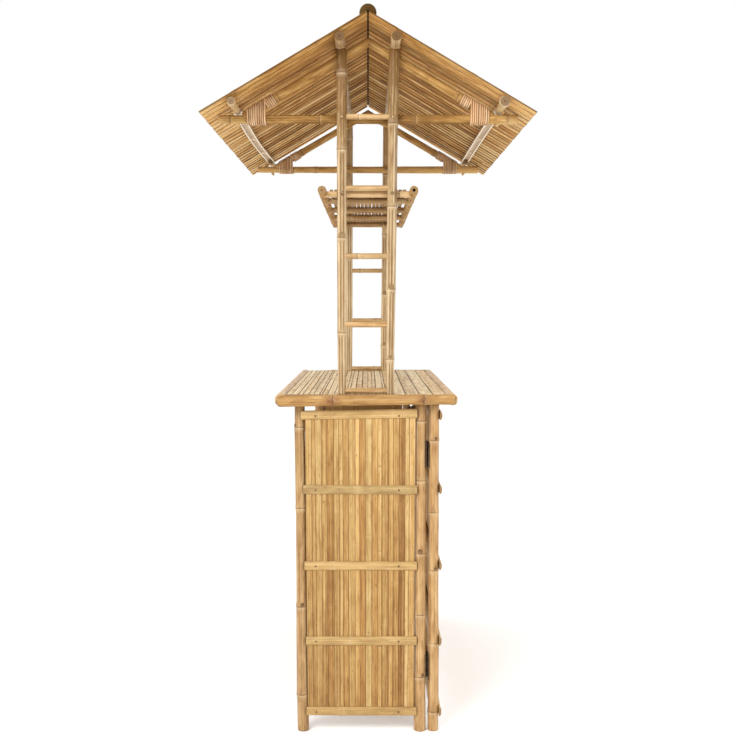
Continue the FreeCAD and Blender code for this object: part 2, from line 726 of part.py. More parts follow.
def build_counter():
    """Build the counter: trim poles, slats, and the bearers under them."""
    outline = counter_outline()
    front_trim = trim("counter_trim_front", outline, "counter_length", 0, COUNTER_FRONT_Y, 0)
    back_trim = trim("counter_trim_back", outline, "counter_length", 0, COUNTER_BACK_Y, 180)
    trim("counter_trim_left", outline, "counter_depth", "-counter_length / 2", "counter_shift_back", -90)
    trim("counter_trim_right", outline, "counter_depth", "counter_length / 2", "counter_shift_back", 90)
    foot_dowels = []
    for side in ("front", "back"):
        foot_dowels.append(pole(
            f"foot_dowel_{side}", "foot_dowel_diameter", "foot_dowel_length", f"-{SCREEN_X}",
            f"ladder_{side}_foot_y", f"{BEARER_Z} + foot_dowel_floor",
        ))
    all_dowels = finish("ladder_foot_dowels", both_ends("ladder_foot_dowels", group("left_dowels", foot_dowels)))

    sockets = [
        pole(
            f"socket_{name}", "locating_dowel_diameter + 2 * dowel_play",
            "locating_dowel_height + dowel_play", x, "front_panel_y", BEARER_Z,
        )
        for name, x in (("left", f"-{SCREEN_X}"), ("centre", "0"), ("right", SCREEN_X))
    ]
    bearer_pitch = f"(2 * {SCREEN_X} / (bearer_count - 1))"
    bearer_blanks = slat_row(
        "bearer_blanks", "XY_Plane", "bearer_width", "counter_depth - trim_diameter",
        f"{SLAT_FLOOR_Z} - {BEARER_Z}", "H_Axis", "bearer_count", bearer_pitch,
        f"-{SCREEN_X} - bearer_width / 2", f"{COUNTER_FRONT_Y} + trim_diameter / 2", BEARER_Z,
    )
    finish("counter_bearers", cut(
        "counter_bearers", bearer_blanks, [front_trim, back_trim, all_dowels] + sockets
    ))

    length = "(counter_length - 2 * trim_diameter - 2 * counter_end_gap)"
    front_edge = f"({COUNTER_FRONT_Y} + trim_diameter + counter_slat_gap / 2)"
    wide_pitch = "(wide_slat_width + counter_slat_gap)"
    wide = slat_row(
        "wide_slat_row", "YZ_Plane", "wide_slat_width", "counter_slat_thickness", length, "H_Axis",
        "wide_slat_count", wide_pitch, f"-{length} / 2", front_edge, SLAT_FLOOR_Z,
    )
    narrow_start = f"({front_edge} + wide_slat_count * {wide_pitch})"
    narrow_pitch = f"(({INNER_DEPTH} - wide_slat_count * {wide_pitch}) / narrow_slat_count)"
    narrow = slat_row(
        "narrow_slat_row", "YZ_Plane", f"{narrow_pitch} - counter_slat_gap", "counter_slat_thickness", length,
        "H_Axis", "narrow_slat_count", narrow_pitch, f"-{length} / 2", narrow_start, SLAT_FLOOR_Z,
    )
    finish("counter_wide_slats", cut("counter_wide_slats", wide, [all_dowels]))
    finish("counter_narrow_slats", cut("counter_narrow_slats", narrow, [all_dowels]))
    return all_dowels


# Ladders, rack and roof trusses
def bolt(name, reach, x, y, z):
    """Make a carriage bolt along +X from its head, with its nut; the head's underside is at x."""
    shank = pole(f"{name}_shank", "bolt_diameter", f"{reach} + nut_thickness", x, y, z, Y_AXIS, 90)
    head = pole(f"{name}_head", "bolt_head_diameter", "bolt_head_thickness", x, y, z, Y_AXIS, -90)
    nut = new("Part::Prism", f"{name}_nut")
    nut.Polygon = 6
    bind(nut, "Circumradius", "nut_diameter / 2")
    bind(nut, "Height", "nut_thickness")
    place(nut, f"{x} + {reach}", y, z, Y_AXIS, 90)
    return fused(name, [shank, head, nut])


def ladder_pole(side, sign):
    """Return one leaning ladder post, still whole."""
    foot = f"ladder_{side}_foot_y"
    rise = f"({LADDER_TOP_Z} - {DECK_Z})"
    lean = f"atan(({sign} * ladder_head_half_width - {foot}) / {rise})"
    return tapered_pole(
        f"ladder_{side}_pole", "ladder_foot_diameter", "ladder_head_diameter", rise, f"-{SCREEN_X}", foot,
        DECK_Z, X_AXIS, f"-{lean}",
    )


def rafter(side, sign):
    """Return one rafter of the left truss, cut plumb at the apex and above the tie beam's middle."""
    length = "(rafter_foot_y / cos(roof_pitch))"
    # The pole runs up from its foot; the part past the apex is cut off.
    turn = f"{sign} * (90 - roof_pitch)"
    foot_z = f"({RAFTER_APEX_Z} - rafter_foot_y * tan(roof_pitch))"
    culm = pole(
        f"rafter_{side}_culm", "rafter_diameter", f"{length} + rafter_diameter", f"-{TRUSS_X}",
        f"{sign} * rafter_foot_y", foot_z, X_AXIS, turn,
    )
    past_apex = block(
        f"rafter_{side}_apex_cut", "2 * rafter_diameter", "2 * rafter_diameter", "4 * rafter_diameter",
        f"-{TRUSS_X} - rafter_diameter", "0" if sign < 0 else "-2 * rafter_diameter",
        f"{RAFTER_APEX_Z} - 2 * rafter_diameter",
    )
    below_tie = block(
        f"rafter_{side}_foot_cut", "2 * rafter_diameter", "4 * rafter_diameter", "2 * rafter_diameter",
        f"-{TRUSS_X} - rafter_diameter", f"{sign} * rafter_foot_y - 2 * rafter_diameter",
        f"{TIE_BEAM_Z} + tie_beam_diameter / 6 - 2 * rafter_diameter",
    )
    return culm, past_apex, below_tie


def ladder_axis_y(side, z):
    """Return the expression of where a ladder pole's axis is at a height."""
    sign = -1 if side == "front" else 1
    lean = f"({sign} * ladder_head_half_width - ladder_{side}_foot_y)"
    return f"(ladder_{side}_foot_y + {lean} * ({z} - {DECK_Z}) / ({LADDER_TOP_Z} - {DECK_Z}))"


def build_frame(foot_dowels):
    """Build the left ladder and truss with their mirror images, and the rack between the ladders."""
    posts = {"front": ladder_pole("front", -1), "back": ladder_pole("back", 1)}
    bars = []
    tenons = []
    for level in RAIL_LEVELS:
        z = RUNG_Z[level]
        start = f"{ladder_axis_y('front', z)} + rung_tenon_stop"
        end = f"{ladder_axis_y('back', z)} - rung_tenon_stop"
        run = (start, end, f"-{SCREEN_X}", z)
        bars.append(pole_along_y(f"rung_{level}", "rung_diameter", *run))
        tenons.append(pole_along_y(f"rung_tenon_{level}", "rung_tenon_diameter", *run))
    whole_rungs, rung_tenons = with_tenons("left_rungs_whole", bars, list(posts.values()), tenons)
    rungs = cut("left_rungs", whole_rungs, [foot_dowels])
    finish("ladder_rungs", both_ends("ladder_rungs", rungs))

    crossbars = {
        name: (
            pole_along_y(f"crossbar_{name}_bar", "crossbar_diameter", "-rack_rail_y", "rack_rail_y", x, CROSSBAR_Z),
            pole_along_y(
                f"crossbar_{name}_tenon", "crossbar_tenon_diameter", "-rack_rail_y", "rack_rail_y", x, CROSSBAR_Z
            ),
        )
        for name, x in (
            ("left", f"-{CROSSBAR_X}"), ("next", "crossbar_next_x"), ("near", "crossbar_left_x"),
            ("far", "crossbar_right_x"), ("right", CROSSBAR_X),
        )
    }
    tie_culm = pole_along_y(
        "tie_beam_culm", "tie_beam_diameter", "-tie_beam_half_length", "tie_beam_half_length",
        f"-{TRUSS_X}", TIE_BEAM_Z,
    )
    purlins = [
        pole_along_x(
            f"upper_purlin_{side}", "purlin_diameter", "-roof_length / 2 + purlin_inset",
            "roof_length / 2 - purlin_inset", f"{sign} * upper_purlin_y", UPPER_PURLIN_Z,
        )
        for side, sign in (("front", -1), ("back", 1))
    ]
    finish("upper_purlins", group("upper_purlins", purlins))

    rafters = []
    for side, sign in (("front", -1), ("back", 1)):
        culm, past_apex, below_tie = rafter(side, sign)
        rafters.append(cut(f"rafter_{side}", culm, [past_apex, below_tie, tie_culm]))

    left_rafters = finish("rafters_left", group("rafters_left", rafters))
    finish("rafters_right", mirrored("rafters_right", left_rafters))

    rack_bolts = []
    tie_bolts = []
    head_x = f"(-{SCREEN_X} - ladder_head_diameter / 2)"
    for side in ("front", "back"):
        for bolts, name, z, far_face in (
            (rack_bolts, "rack", CROSSBAR_Z, f"(-{CROSSBAR_X} + crossbar_diameter / 2)"),
            (tie_bolts, "tie", TIE_BEAM_Z, f"(-{TRUSS_X} + tie_beam_diameter / 2)"),
        ):
            y = ladder_axis_y(side, z)
            bolts.append(bolt(f"{name}_bolt_{side}", f"({far_face} - {head_x})", head_x, y, z))
    left_bolts = group("left_bolts", rack_bolts + tie_bolts)
    all_bolts = finish("carriage_bolts", both_ends("carriage_bolts", left_bolts))

    deck = block(
        "deck_level", "counter_length", "counter_depth", "counter_slat_thickness",
        "-counter_length / 2", COUNTER_FRONT_Y, SLAT_FLOOR_Z,
    )
    for index, (side, post) in enumerate(posts.items()):
        finished = cut(
            f"ladder_left_{side}_post", post,
            [
                crossbars["left"][0], rack_bolts[index], tie_bolts[index], rung_tenons, *rafters, *purlins,
                foot_dowels, deck, tie_culm,
            ],
        )
        finish(f"ladder_left_{side}_post", finished)
        finish(f"ladder_right_{side}_post", mirrored(f"ladder_right_{side}_post", finished))

    rack_rails = [
        pole_along_x(
            f"rack_{side}_culm", "rack_rail_diameter", "rack_left_end", "rack_right_end",
            f"{sign} * rack_rail_y", RACK_Z,
        )
        for side, sign in (("front", -1), ("back", 1))
    ]
    bore = pole_along_x(
        "rack_bore", "rack_bore_diameter", "rack_left_end", "rack_left_end + rack_bore_depth",
        "-rack_rail_y", RACK_Z,
    )
    bars = [bar for bar, _ in crossbars.values()]
    tenons = [tenon for _, tenon in crossbars.values()]
    bars_whole, bar_tenons = with_tenons("rack_bars_whole", bars, rack_rails, tenons)
    finish("rack_rail_front", cut("rack_rail_front", rack_rails[0], [bar_tenons, bore]))
    finish("rack_rail_back", cut("rack_rail_back", rack_rails[1], [bar_tenons]))
    finish("rack_crossbars", cut("rack_crossbars", bars_whole, [all_bolts]))
    slat_pitch = "(rack_slat_width + rack_slat_gap)"
    finish("rack_slats", slat_row(
        "rack_slats", "YZ_Plane", "rack_slat_width", "rack_slat_thickness", f"2 * {CROSSBAR_X}", "H_Axis",
        "rack_slat_count", slat_pitch, f"-{CROSSBAR_X}",
        f"-(rack_slat_count * {slat_pitch} - rack_slat_gap) / 2", f"{CROSSBAR_Z} + crossbar_diameter / 2",
    ))

    pegs = []
    for side, sign in (("front", -1), ("back", 1)):
        reach = "(purlin_diameter / 2 + peg_diameter / 2 + peg_clearance)"
        drop = "(purlin_diameter / 2 + tie_beam_diameter / 2)"
        # The peg leans outwards past the eave purlin and crosses the tie beam's axis here.
        y = f"(eave_purlin_y + {reach} / cos(peg_tilt) - {drop} * tan(peg_tilt))"
        pegs.append(pole(
            f"peg_{side}", "peg_diameter", "peg_length", f"-{TRUSS_X}",
            f"{sign} * ({y} - peg_length / 2 * sin(peg_tilt))",
            f"{TIE_BEAM_Z} - peg_length / 2 * cos(peg_tilt)", X_AXIS, f"{-sign} * peg_tilt",
        ))
    left_pegs = group("left_pegs", pegs)
    finish("roof_pegs", both_ends("roof_pegs", left_pegs))
    tie_beam = finish("tie_beam_left", cut("tie_beam_left", tie_culm, [left_bolts, left_pegs]))
    finish("tie_beam_right", mirrored("tie_beam_right", tie_beam))


# Roof covering
def eave_purlin():
    """Return the back eave purlin: a whole culm over the trusses, split to a channel between them."""
    length = "(roof_length - 2 * purlin_inset)"
    culm = pole_along_x(
        "eave_culm", "purlin_diameter", f"-{length} / 2", f"{length} / 2", "eave_purlin_y", EAVE_PURLIN_Z
    )
    inner_end = f"({TRUSS_X} - purlin_node_length)"
    tools = [block(
        "eave_split", f"2 * {inner_end}", "2 * purlin_diameter", "purlin_diameter",
        f"-{inner_end}", "eave_purlin_y - purlin_diameter", f"{EAVE_PURLIN_Z} - purlin_diameter",
    )]
    # The culm's middle node keeps its inner wall.
    for name, start, end in (
        ("left", f"-{inner_end}", "-purlin_wall / 2"), ("right", "purlin_wall / 2", inner_end),
    ):
        tools.append(pole_along_x(
            f"eave_bore_{name}", "purlin_diameter - 2 * purlin_wall", start, end, "eave_purlin_y", EAVE_PURLIN_Z
        ))
    return cut("eave_purlin_back", culm, tools)


def build_roof():
    """Build the eave purlins, the two slatted slopes and the ridge pole."""
    back_purlin = eave_purlin()
    finish("eave_purlins", group("eave_purlins", [back_purlin, mirrored("eave_purlin_front", back_purlin, Y_AXIS)]))

    pitch = "(roof_length / roof_slat_count)"
    back = new("PartDesign::Body", "roof_slats_back")
    slat = rectangle(back, "XY_Plane", f"{pitch} - roof_slat_gap", "roof_half_width / cos(roof_pitch) - ridge_gap")
    repeat(back, pad(back, slat, "roof_slat_thickness"), slat, "H_Axis", "roof_slat_count", pitch)
    place(
        back, "-roof_length / 2 + roof_slat_gap / 2",
        "ridge_gap * cos(roof_pitch) - roof_slat_thickness * sin(roof_pitch)",
        "roof_top_height - ridge_gap * sin(roof_pitch) - roof_slat_thickness * cos(roof_pitch)",
        X_AXIS, "-roof_pitch",
    )
    finish("roof_slats_back", back)
    finish("roof_slats_front", mirrored("roof_slats_front", back, Y_AXIS))

    culm = pole_along_x(
        "ridge_culm", "ridge_pole_diameter", f"-{RIDGE_POLE_LENGTH} / 2", f"{RIDGE_POLE_LENGTH} / 2", 0,
        RIDGE_POLE_Z,
    )
    notch = new("PartDesign::Body", "ridge_notch")
    sketch = sketch_on(notch, "YZ_Plane")
    close_outline(sketch, [V(-30, -20), V(30, -20), V(0, 0)])
    sketch.addConstraint(Sketcher.Constraint("Coincident", 1, 2, -1, 1))
    sketch.addConstraint(Sketcher.Constraint("Symmetric", 0, 1, 0, 2, -2))
    dimension(sketch, "half_width", "DistanceX", "ridge_pole_diameter", 1, 2, 1, 1)
    dimension(sketch, "drop", "DistanceY", "ridge_pole_diameter * tan(roof_pitch)", 1, 1, 1, 2)
    pad(notch, sketch, "roof_length")
    place(notch, "-roof_length / 2", 0, "roof_top_height")
    finish("ridge_pole", cut("ridge_pole", culm, [notch]))


# Rattan lashings, whose turns are worked out from the sheet's sizes
def measure(text):
    """Return the number that an expression of the sizes has now."""
    return float(sheet.evalExpression(expression(text)))


def biarc(start, start_way, end, end_way):
    """Return two arcs that join two points and keep both directions."""
    gap = end - start
    ways = start_way + end_way
    square = 2 * (1 - start_way.dot(end_way))
    along = gap.dot(ways)
    if square < 1e-9:
        reach = gap.dot(gap) / (4 * gap.dot(end_way))
    else:
        reach = (-along + math.sqrt(along ** 2 + square * gap.dot(gap))) / square
    first_corner = start + start_way * reach
    second_corner = end - end_way * reach
    joint = (first_corner + second_corner) / 2
    edges = []
    for first, corner, last in ((start, first_corner, joint), (joint, second_corner, end)):
        chord_middle = (first + last) / 2
        rise = corner - chord_middle
        half = (last - first).Length / 2
        if rise.Length < 1e-6:
            edges.append(Part.LineSegment(first, last).toShape())
            continue
        # An arc's height over its chord, from the height of the corner where its two tangents meet
        height = half * (math.hypot(half, rise.Length) - half) / rise.Length
        middle = chord_middle + rise * (height / rise.Length)
        edges.append(Part.Arc(first, middle, last).toShape())
    return edges


def wound_tube(points, ways, diameter):
    """Return one unbroken tube through the points, with a straight end run of one diameter at each end."""
    edges = [Part.LineSegment(points[0] - ways[0] * diameter, points[0]).toShape()]
    for index in range(len(points) - 1):
        edges += biarc(points[index], ways[index], points[index + 1], ways[index + 1])
    edges.append(Part.LineSegment(points[-1], points[-1] + ways[-1] * diameter).toShape())
    path = Part.Wire(edges)
    start = points[0] - ways[0] * diameter
    ring = Part.Wire(Part.Circle(start, ways[0], diameter / 2).toShape())
    return path, path.makePipeShell([ring], True, False)


def least_gap(path, diameter, loop_length):
    """Measure the least clear distance between turns of a tube, on points along its middle."""
    points = path.discretize(Distance=1.5)
    apart = int(loop_length * 0.4 / 1.5)
    return min(
        (points[i] - points[j]).Length for i in range(len(points)) for j in range(i + apart, len(points))
    ) - diameter


def beam_lashing():
    """Wind the strand round the back end of the left tie beam and rafter."""
    strand = measure("strand_diameter")
    radius = measure("rafter_diameter / 2 + strand_clearance") + strand / 2
    low_z = measure(TIE_BEAM_Z)
    pitch_angle = math.radians(measure("roof_pitch"))
    # Each loop crosses the sloping rafter aslant, so it needs that much more room over it.
    apex_z = measure(RAFTER_APEX_Z) + radius / math.cos(pitch_angle) - radius
    slope = math.tan(pitch_angle)
    pitch = measure("strand_pitch")
    middle_x = measure(f"-{TRUSS_X}")
    y = measure("lashing_start_y")
    points = []
    ways = []
    for turn in range(int(measure("lashing_turns"))):
        rise = apex_z - slope * y - low_z
        loop = 2 * math.pi * radius + 2 * rise
        climb = pitch / loop
        for x, up, is_high in ((1, -1, False), (-1, 1, False), (-1, 1, True), (1, -1, True)):
            z = apex_z - slope * y if is_high else low_z
            points.append(V(middle_x + x * radius, y, z))
            ways.append(V(0, climb, up).normalize())
            is_side = (x, is_high) in ((-1, False), (1, True))
            y += climb * (rise if is_side else math.pi * radius)
    path, tube = wound_tube(points, ways, strand)
    print("beam lashing: least gap to itself", round(least_gap(path, strand, 120), 2), "mm")
    return tube


def rafter_collar():
    """Wind the strand round the back rafter alone, just above the beam lashing."""
    strand = measure("strand_diameter")
    radius = measure("rafter_diameter / 2 + strand_clearance") + strand / 2
    tilt = math.radians(measure("roof_pitch"))
    up_rafter = V(0, -math.cos(tilt), math.sin(tilt))
    across = V(1, 0, 0)
    square = up_rafter.cross(across)
    y = measure("lashing_start_y") - strand - measure("collar_start")
    start = V(measure(f"-{TRUSS_X}"), y, measure(RAFTER_APEX_Z) - math.tan(tilt) * y)
    start += up_rafter * (radius * math.tan(tilt))
    pitch = measure("strand_pitch")
    points = []
    ways = []
    for step in range(4 * int(measure("collar_turns")) + 1):
        angle = step * math.pi / 2
        outward = across * math.cos(angle) + square * math.sin(angle)
        onward = square * math.cos(angle) - across * math.sin(angle)
        points.append(start + outward * radius + up_rafter * (pitch * step / 4))
        ways.append((onward * (2 * math.pi * radius) + up_rafter * pitch).normalize())
    path, tube = wound_tube(points, ways, strand)
    print("rafter collar: least gap to itself", round(least_gap(path, strand, 2 * math.pi * radius), 2), "mm")
    return tube


def build_lashings():
    """Lash the four joints of rafter and tie beam."""
    back = new("Part::Feature", "lashing_left_back")
    back.Shape = Part.makeCompound([beam_lashing(), rafter_collar()])
    finish("lashing_left_back", back)
    front = finish("lashing_left_front", mirrored("lashing_left_front", back, Y_AXIS))
    finish("lashing_right_back", mirrored("lashing_right_back", back))
    finish("lashing_right_front", mirrored("lashing_right_front", front))


build_screen()
foot_dowels = build_counter()
build_frame(foot_dowels)
build_roof()
doc.recompute()
build_lashings()
doc.recompute()

for item in doc.Objects:
    if "Invalid" in item.State or "Error" in item.State:
        raise RuntimeError(f"{item.Label} failed: {item.State}")
os.makedirs("parts", exist_ok=True)
for name, item in nodes.items():
    if item.Shape.isNull() or not item.Shape.isValid() or not item.Shape.Solids:
        raise RuntimeError(f"{name} has no valid shape")
    item.Shape.exportStep(f"parts/{name}.step")
    print(name, len(item.Shape.Solids), "solids", round(item.Shape.Volume / 1000, 1), "cm3")
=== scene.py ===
"""Dress the bamboo bar: its culms, split slats, battens, rattan lashings and small ironwork."""
import logging
import math
import random
from abc import ABC, abstractmethod
from collections.abc import Iterable, Sequence
from dataclasses import dataclass
from enum import Enum
from functools import cache
from itertools import cycle, pairwise
from typing import NamedTuple

import bmesh
import bpy
from mathutils import Matrix, Vector, noise


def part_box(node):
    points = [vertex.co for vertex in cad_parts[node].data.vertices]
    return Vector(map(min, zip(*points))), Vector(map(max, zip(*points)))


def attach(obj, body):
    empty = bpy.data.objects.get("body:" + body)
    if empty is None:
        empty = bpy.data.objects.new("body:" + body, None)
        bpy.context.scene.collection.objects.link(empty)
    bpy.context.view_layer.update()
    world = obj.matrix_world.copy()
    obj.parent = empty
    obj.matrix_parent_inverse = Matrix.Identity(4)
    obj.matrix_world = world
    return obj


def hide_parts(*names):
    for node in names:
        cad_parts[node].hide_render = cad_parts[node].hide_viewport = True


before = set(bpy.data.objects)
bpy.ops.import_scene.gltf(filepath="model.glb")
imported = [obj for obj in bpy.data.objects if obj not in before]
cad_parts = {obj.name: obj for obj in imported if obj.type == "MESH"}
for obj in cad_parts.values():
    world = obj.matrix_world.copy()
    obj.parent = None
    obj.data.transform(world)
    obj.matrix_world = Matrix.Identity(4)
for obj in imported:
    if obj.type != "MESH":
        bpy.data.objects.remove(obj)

LOG = logging.getLogger("tiki_bar")
MARKS = ("tone", "tint", "line", "halo", "cut", "edge", "pith")
NEAR = 1e-6
X = Vector((1, 0, 0))
Y = Vector((0, 1, 0))
Z = Vector((0, 0, 1))
Mesh = bmesh.types.BMesh
Socket = bpy.types.NodeSocket
Box = tuple[Vector, Vector]
Colour = tuple[float, float, float]


# Shapes shared by every stick of bamboo
class NodeRing(NamedTuple):
    """A ring of points near a culm's node.

    Attributes:
        offset: Height above the node, in metres.
        rise: How far the skin stands out, as a share of the stick's ridge.
        line: How dark the node's line is here.
        halo: How pale the waxy band is here.
    """

    offset: float = 0.0
    rise: float = 0.0
    line: float = 0.0
    halo: float = 0.0


NODE_RINGS = (
    NodeRing(-0.016),
    NodeRing(-0.007, 0.35, 0.0, 0.35),
    NodeRing(-0.0025, 1.0, 0.1, 0.8),
    NodeRing(0.0, 0.3, 0.8, 0.1),
    NodeRing(0.003, 0.9, 0.4, 0.3),
    NodeRing(0.014),
)


class EndForm(Enum):
    """How a culm ends: rings from the middle outwards of depth, share of radius, cut mark and dark mark."""

    SAWN = ((0.0, 0.0, 1.0, 0.0), (0.0, 0.93, 1.0, 0.0), (0.0012, 1.0, 0.0, 0.0))
    # Painted shade: the dark mark in the sunk middle of PITH and HOLLOW ends stands for the shade in the
    # hole.
    PITH = (
        (0.004, 0.0, 0.0, 1.0), (0.003, 0.13, 0.3, 1.0), (0.0, 0.2, 1.0, 0.2), (0.0, 0.91, 1.0, 0.0),
        (0.0015, 1.0, 0.0, 0.0),
    )
    HOLLOW = (
        (0.045, 0.0, 0.0, 1.0), (0.04, 0.33, 0.0, 1.0), (0.002, 0.35, 0.2, 1.0), (0.0, 0.41, 1.0, 0.2),
        (0.0, 0.92, 1.0, 0.0), (0.0015, 1.0, 0.0, 0.0),
    )
    DOMED = (
        (0.0, 0.0, 0.8, 0.3), (0.0008, 0.4, 0.8, 0.2), (0.003, 0.68, 0.6, 0.2), (0.007, 0.86, 0.3, 0.2),
        (0.013, 0.97, 0.0, 0.1), (0.018, 1.0, 0.0, 0.0),
    )


@dataclass(frozen=True)
class CulmForm:
    """The form of a whole culm.

    Attributes:
        foot: Radius at its start.
        head: Radius at its end.
        ends: How its start and its end look.
        sides: Points around it.
        ridge: How far its nodes stand out.
        groove: Depth of the branch groove over each node.
        turns: How far from its face the groove of each internode lies, lowest first, or none to alternate.
        bow: How far its middle stands off the straight line, across and outwards.
        kink: How far it may step aside at a node.
    """

    foot: float
    head: float
    ends: tuple[EndForm, EndForm] = (EndForm.SAWN, EndForm.SAWN)
    sides: int = 20
    ridge: float = 0.0009
    groove: float = 0.0
    turns: tuple[float, ...] = ()
    bow: tuple[float, float] = (0.0, 0.0)
    kink: float = 0.0006

    @classmethod
    def rod(cls, foot: float, head: float, sides: int, end: EndForm = EndForm.SAWN) -> "CulmForm":
        """Return the form of a smooth rod."""
        return cls(foot, head, (EndForm.SAWN, end), sides, ridge=0.0, kink=0.0)


@dataclass(frozen=True)
class Knot:
    """The scar of a branch cut off a culm.

    Attributes:
        height: How far up the culm it is.
        turn: How far round from the culm's face, in radians.
        radius: Radius of the stub.
        shade: How dark the skin round it is.
        is_stub: Whether the stub stands off the skin.
    """

    height: float
    turn: float = 0.0
    radius: float = 0.005
    shade: float = 0.4
    is_stub: bool = True


class Post(NamedTuple):
    """A post: its form, the heights of its nodes, its scars, its tone and where its ends stand along Y."""

    form: CulmForm
    nodes: tuple[float, ...]
    knots: tuple[Knot, ...] = ()
    tone: float = 0.5
    stands: tuple[float, float] = (0.0, 0.0)


def corners(node: str) -> Box:
    """Return the lowest and the highest corner of a node of the frame."""
    low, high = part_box(node)
    return Vector(low), Vector(high)


def solids(node: str) -> list[Box]:
    """Measure the separate solids of a node of the frame.

    Args:
        node: Name of the node.

    Returns:
        The lowest and highest corner of each solid, in order of Z, then Y, then X.
    """
    mesh = bmesh.new()
    mesh.from_mesh(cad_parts[node].data)
    bmesh.ops.remove_doubles(mesh, verts=mesh.verts, dist=NEAR)
    waiting = set(mesh.verts)
    boxes = []
    while waiting:
        reached = [waiting.pop()]
        for vert in reached:
            for edge in vert.link_edges:
                other = edge.other_vert(vert)
                if other in waiting:
                    waiting.discard(other)
                    reached.append(other)
        low = Vector(min(vert.co[axis] for vert in reached) for axis in range(3))
        high = Vector(max(vert.co[axis] for vert in reached) for axis in range(3))
        boxes.append((low, high))
    mesh.free()
    return sorted(boxes, key=lambda box: tuple(round(box[0][axis], 3) for axis in (2, 1, 0)))


def ends_along(box: Box, axis: int) -> Box:
    """Return where a box's middle line meets its ends.

    Args:
        box: Lowest and highest corner of the box.
        axis: Axis that the line follows.

    Returns:
        The lower and the higher point.
    """
    start = (box[0] + box[1]) / 2
    end = start.copy()
    start[axis] = box[0][axis]
    end[axis] = box[1][axis]
    return start, end


def laid(start: Vector, end: Vector, face: Vector) -> Matrix:
    """Return the place of a stick that runs between two points.

    Args:
        start: Where the stick's foot is.
        end: A point that the stick runs towards.
        face: Roughly where its skin side, its local +Y, looks.

    Returns:
        The matrix that takes the upright stick there.
    """
    along = (end - start).normalized()
    across = face.cross(along).normalized()
    return Matrix.Translation(start) @ Matrix((across, along.cross(across), along)).transposed().to_4x4()


def node_heights(length: float, gap: float, chance: random.Random, first: float | None = None) -> list[float]:
    """Return a culm's nodes, unevenly spaced as they grow.

    Args:
        length: Length of the culm.
        gap: Usual distance between two nodes.
        chance: Source of the unevenness.
        first: Height of the lowest node, or any height within the first gap.

    Returns:
        The heights of the nodes, lowest first.
    """
    height = chance.uniform(0.15, 1.0) * gap if first is None else first
    heights = []
    while height < length - 0.02:
        heights.append(height)
        height += gap * chance.uniform(0.82, 1.16)
    return heights


def uneven_edges(low: float, high: float, count: int, spread: float, chance: random.Random) -> list[float]:
    """Divide a width into uneven strips.

    Args:
        low: Start of the width.
        high: End of the width.
        count: Number of strips.
        spread: How far an edge may stray, as a share of a strip.
        chance: Source of the unevenness.

    Returns:
        The edges between and beside the strips.
    """
    step = (high - low) / count
    inner = [low + step * (index + chance.uniform(-spread, spread)) for index in range(1, count)]
    return [low, *inner, high]


def bell(value: float, middle: float, width: float) -> float:
    """Return how high a smooth swelling of height 1 is at a value."""
    return math.exp(-(((value - middle) / width) ** 2))


def marked_mesh() -> Mesh:
    """Start a mesh whose points carry the marks and the grain.

    Returns:
        The empty mesh.
    """
    mesh = bmesh.new()
    for mark in MARKS:
        mesh.verts.layers.float.new(mark)
    mesh.verts.layers.float_vector.new("grain")
    return mesh


def close(mesh: Mesh) -> list[bmesh.types.BMFace]:
    """Close a mesh's open rims and return the new faces."""
    rims = [edge for edge in mesh.edges if edge.is_boundary]
    return bmesh.ops.holes_fill(mesh, edges=rims, sides=0)["faces"]


def cut(mesh: Mesh, spot: Sequence[float], normal: Sequence[float], drop: bool = False) -> None:
    """Cut a mesh along a plane.

    Args:
        mesh: The mesh.
        spot: A point of the plane.
        normal: Which way the plane looks.
        drop: Whether the part on that side falls off.
    """
    everything = [*mesh.verts, *mesh.edges, *mesh.faces]
    bmesh.ops.bisect_plane(
        mesh, geom=everything, dist=NEAR, plane_co=spot, plane_no=normal, clear_outer=drop
    )


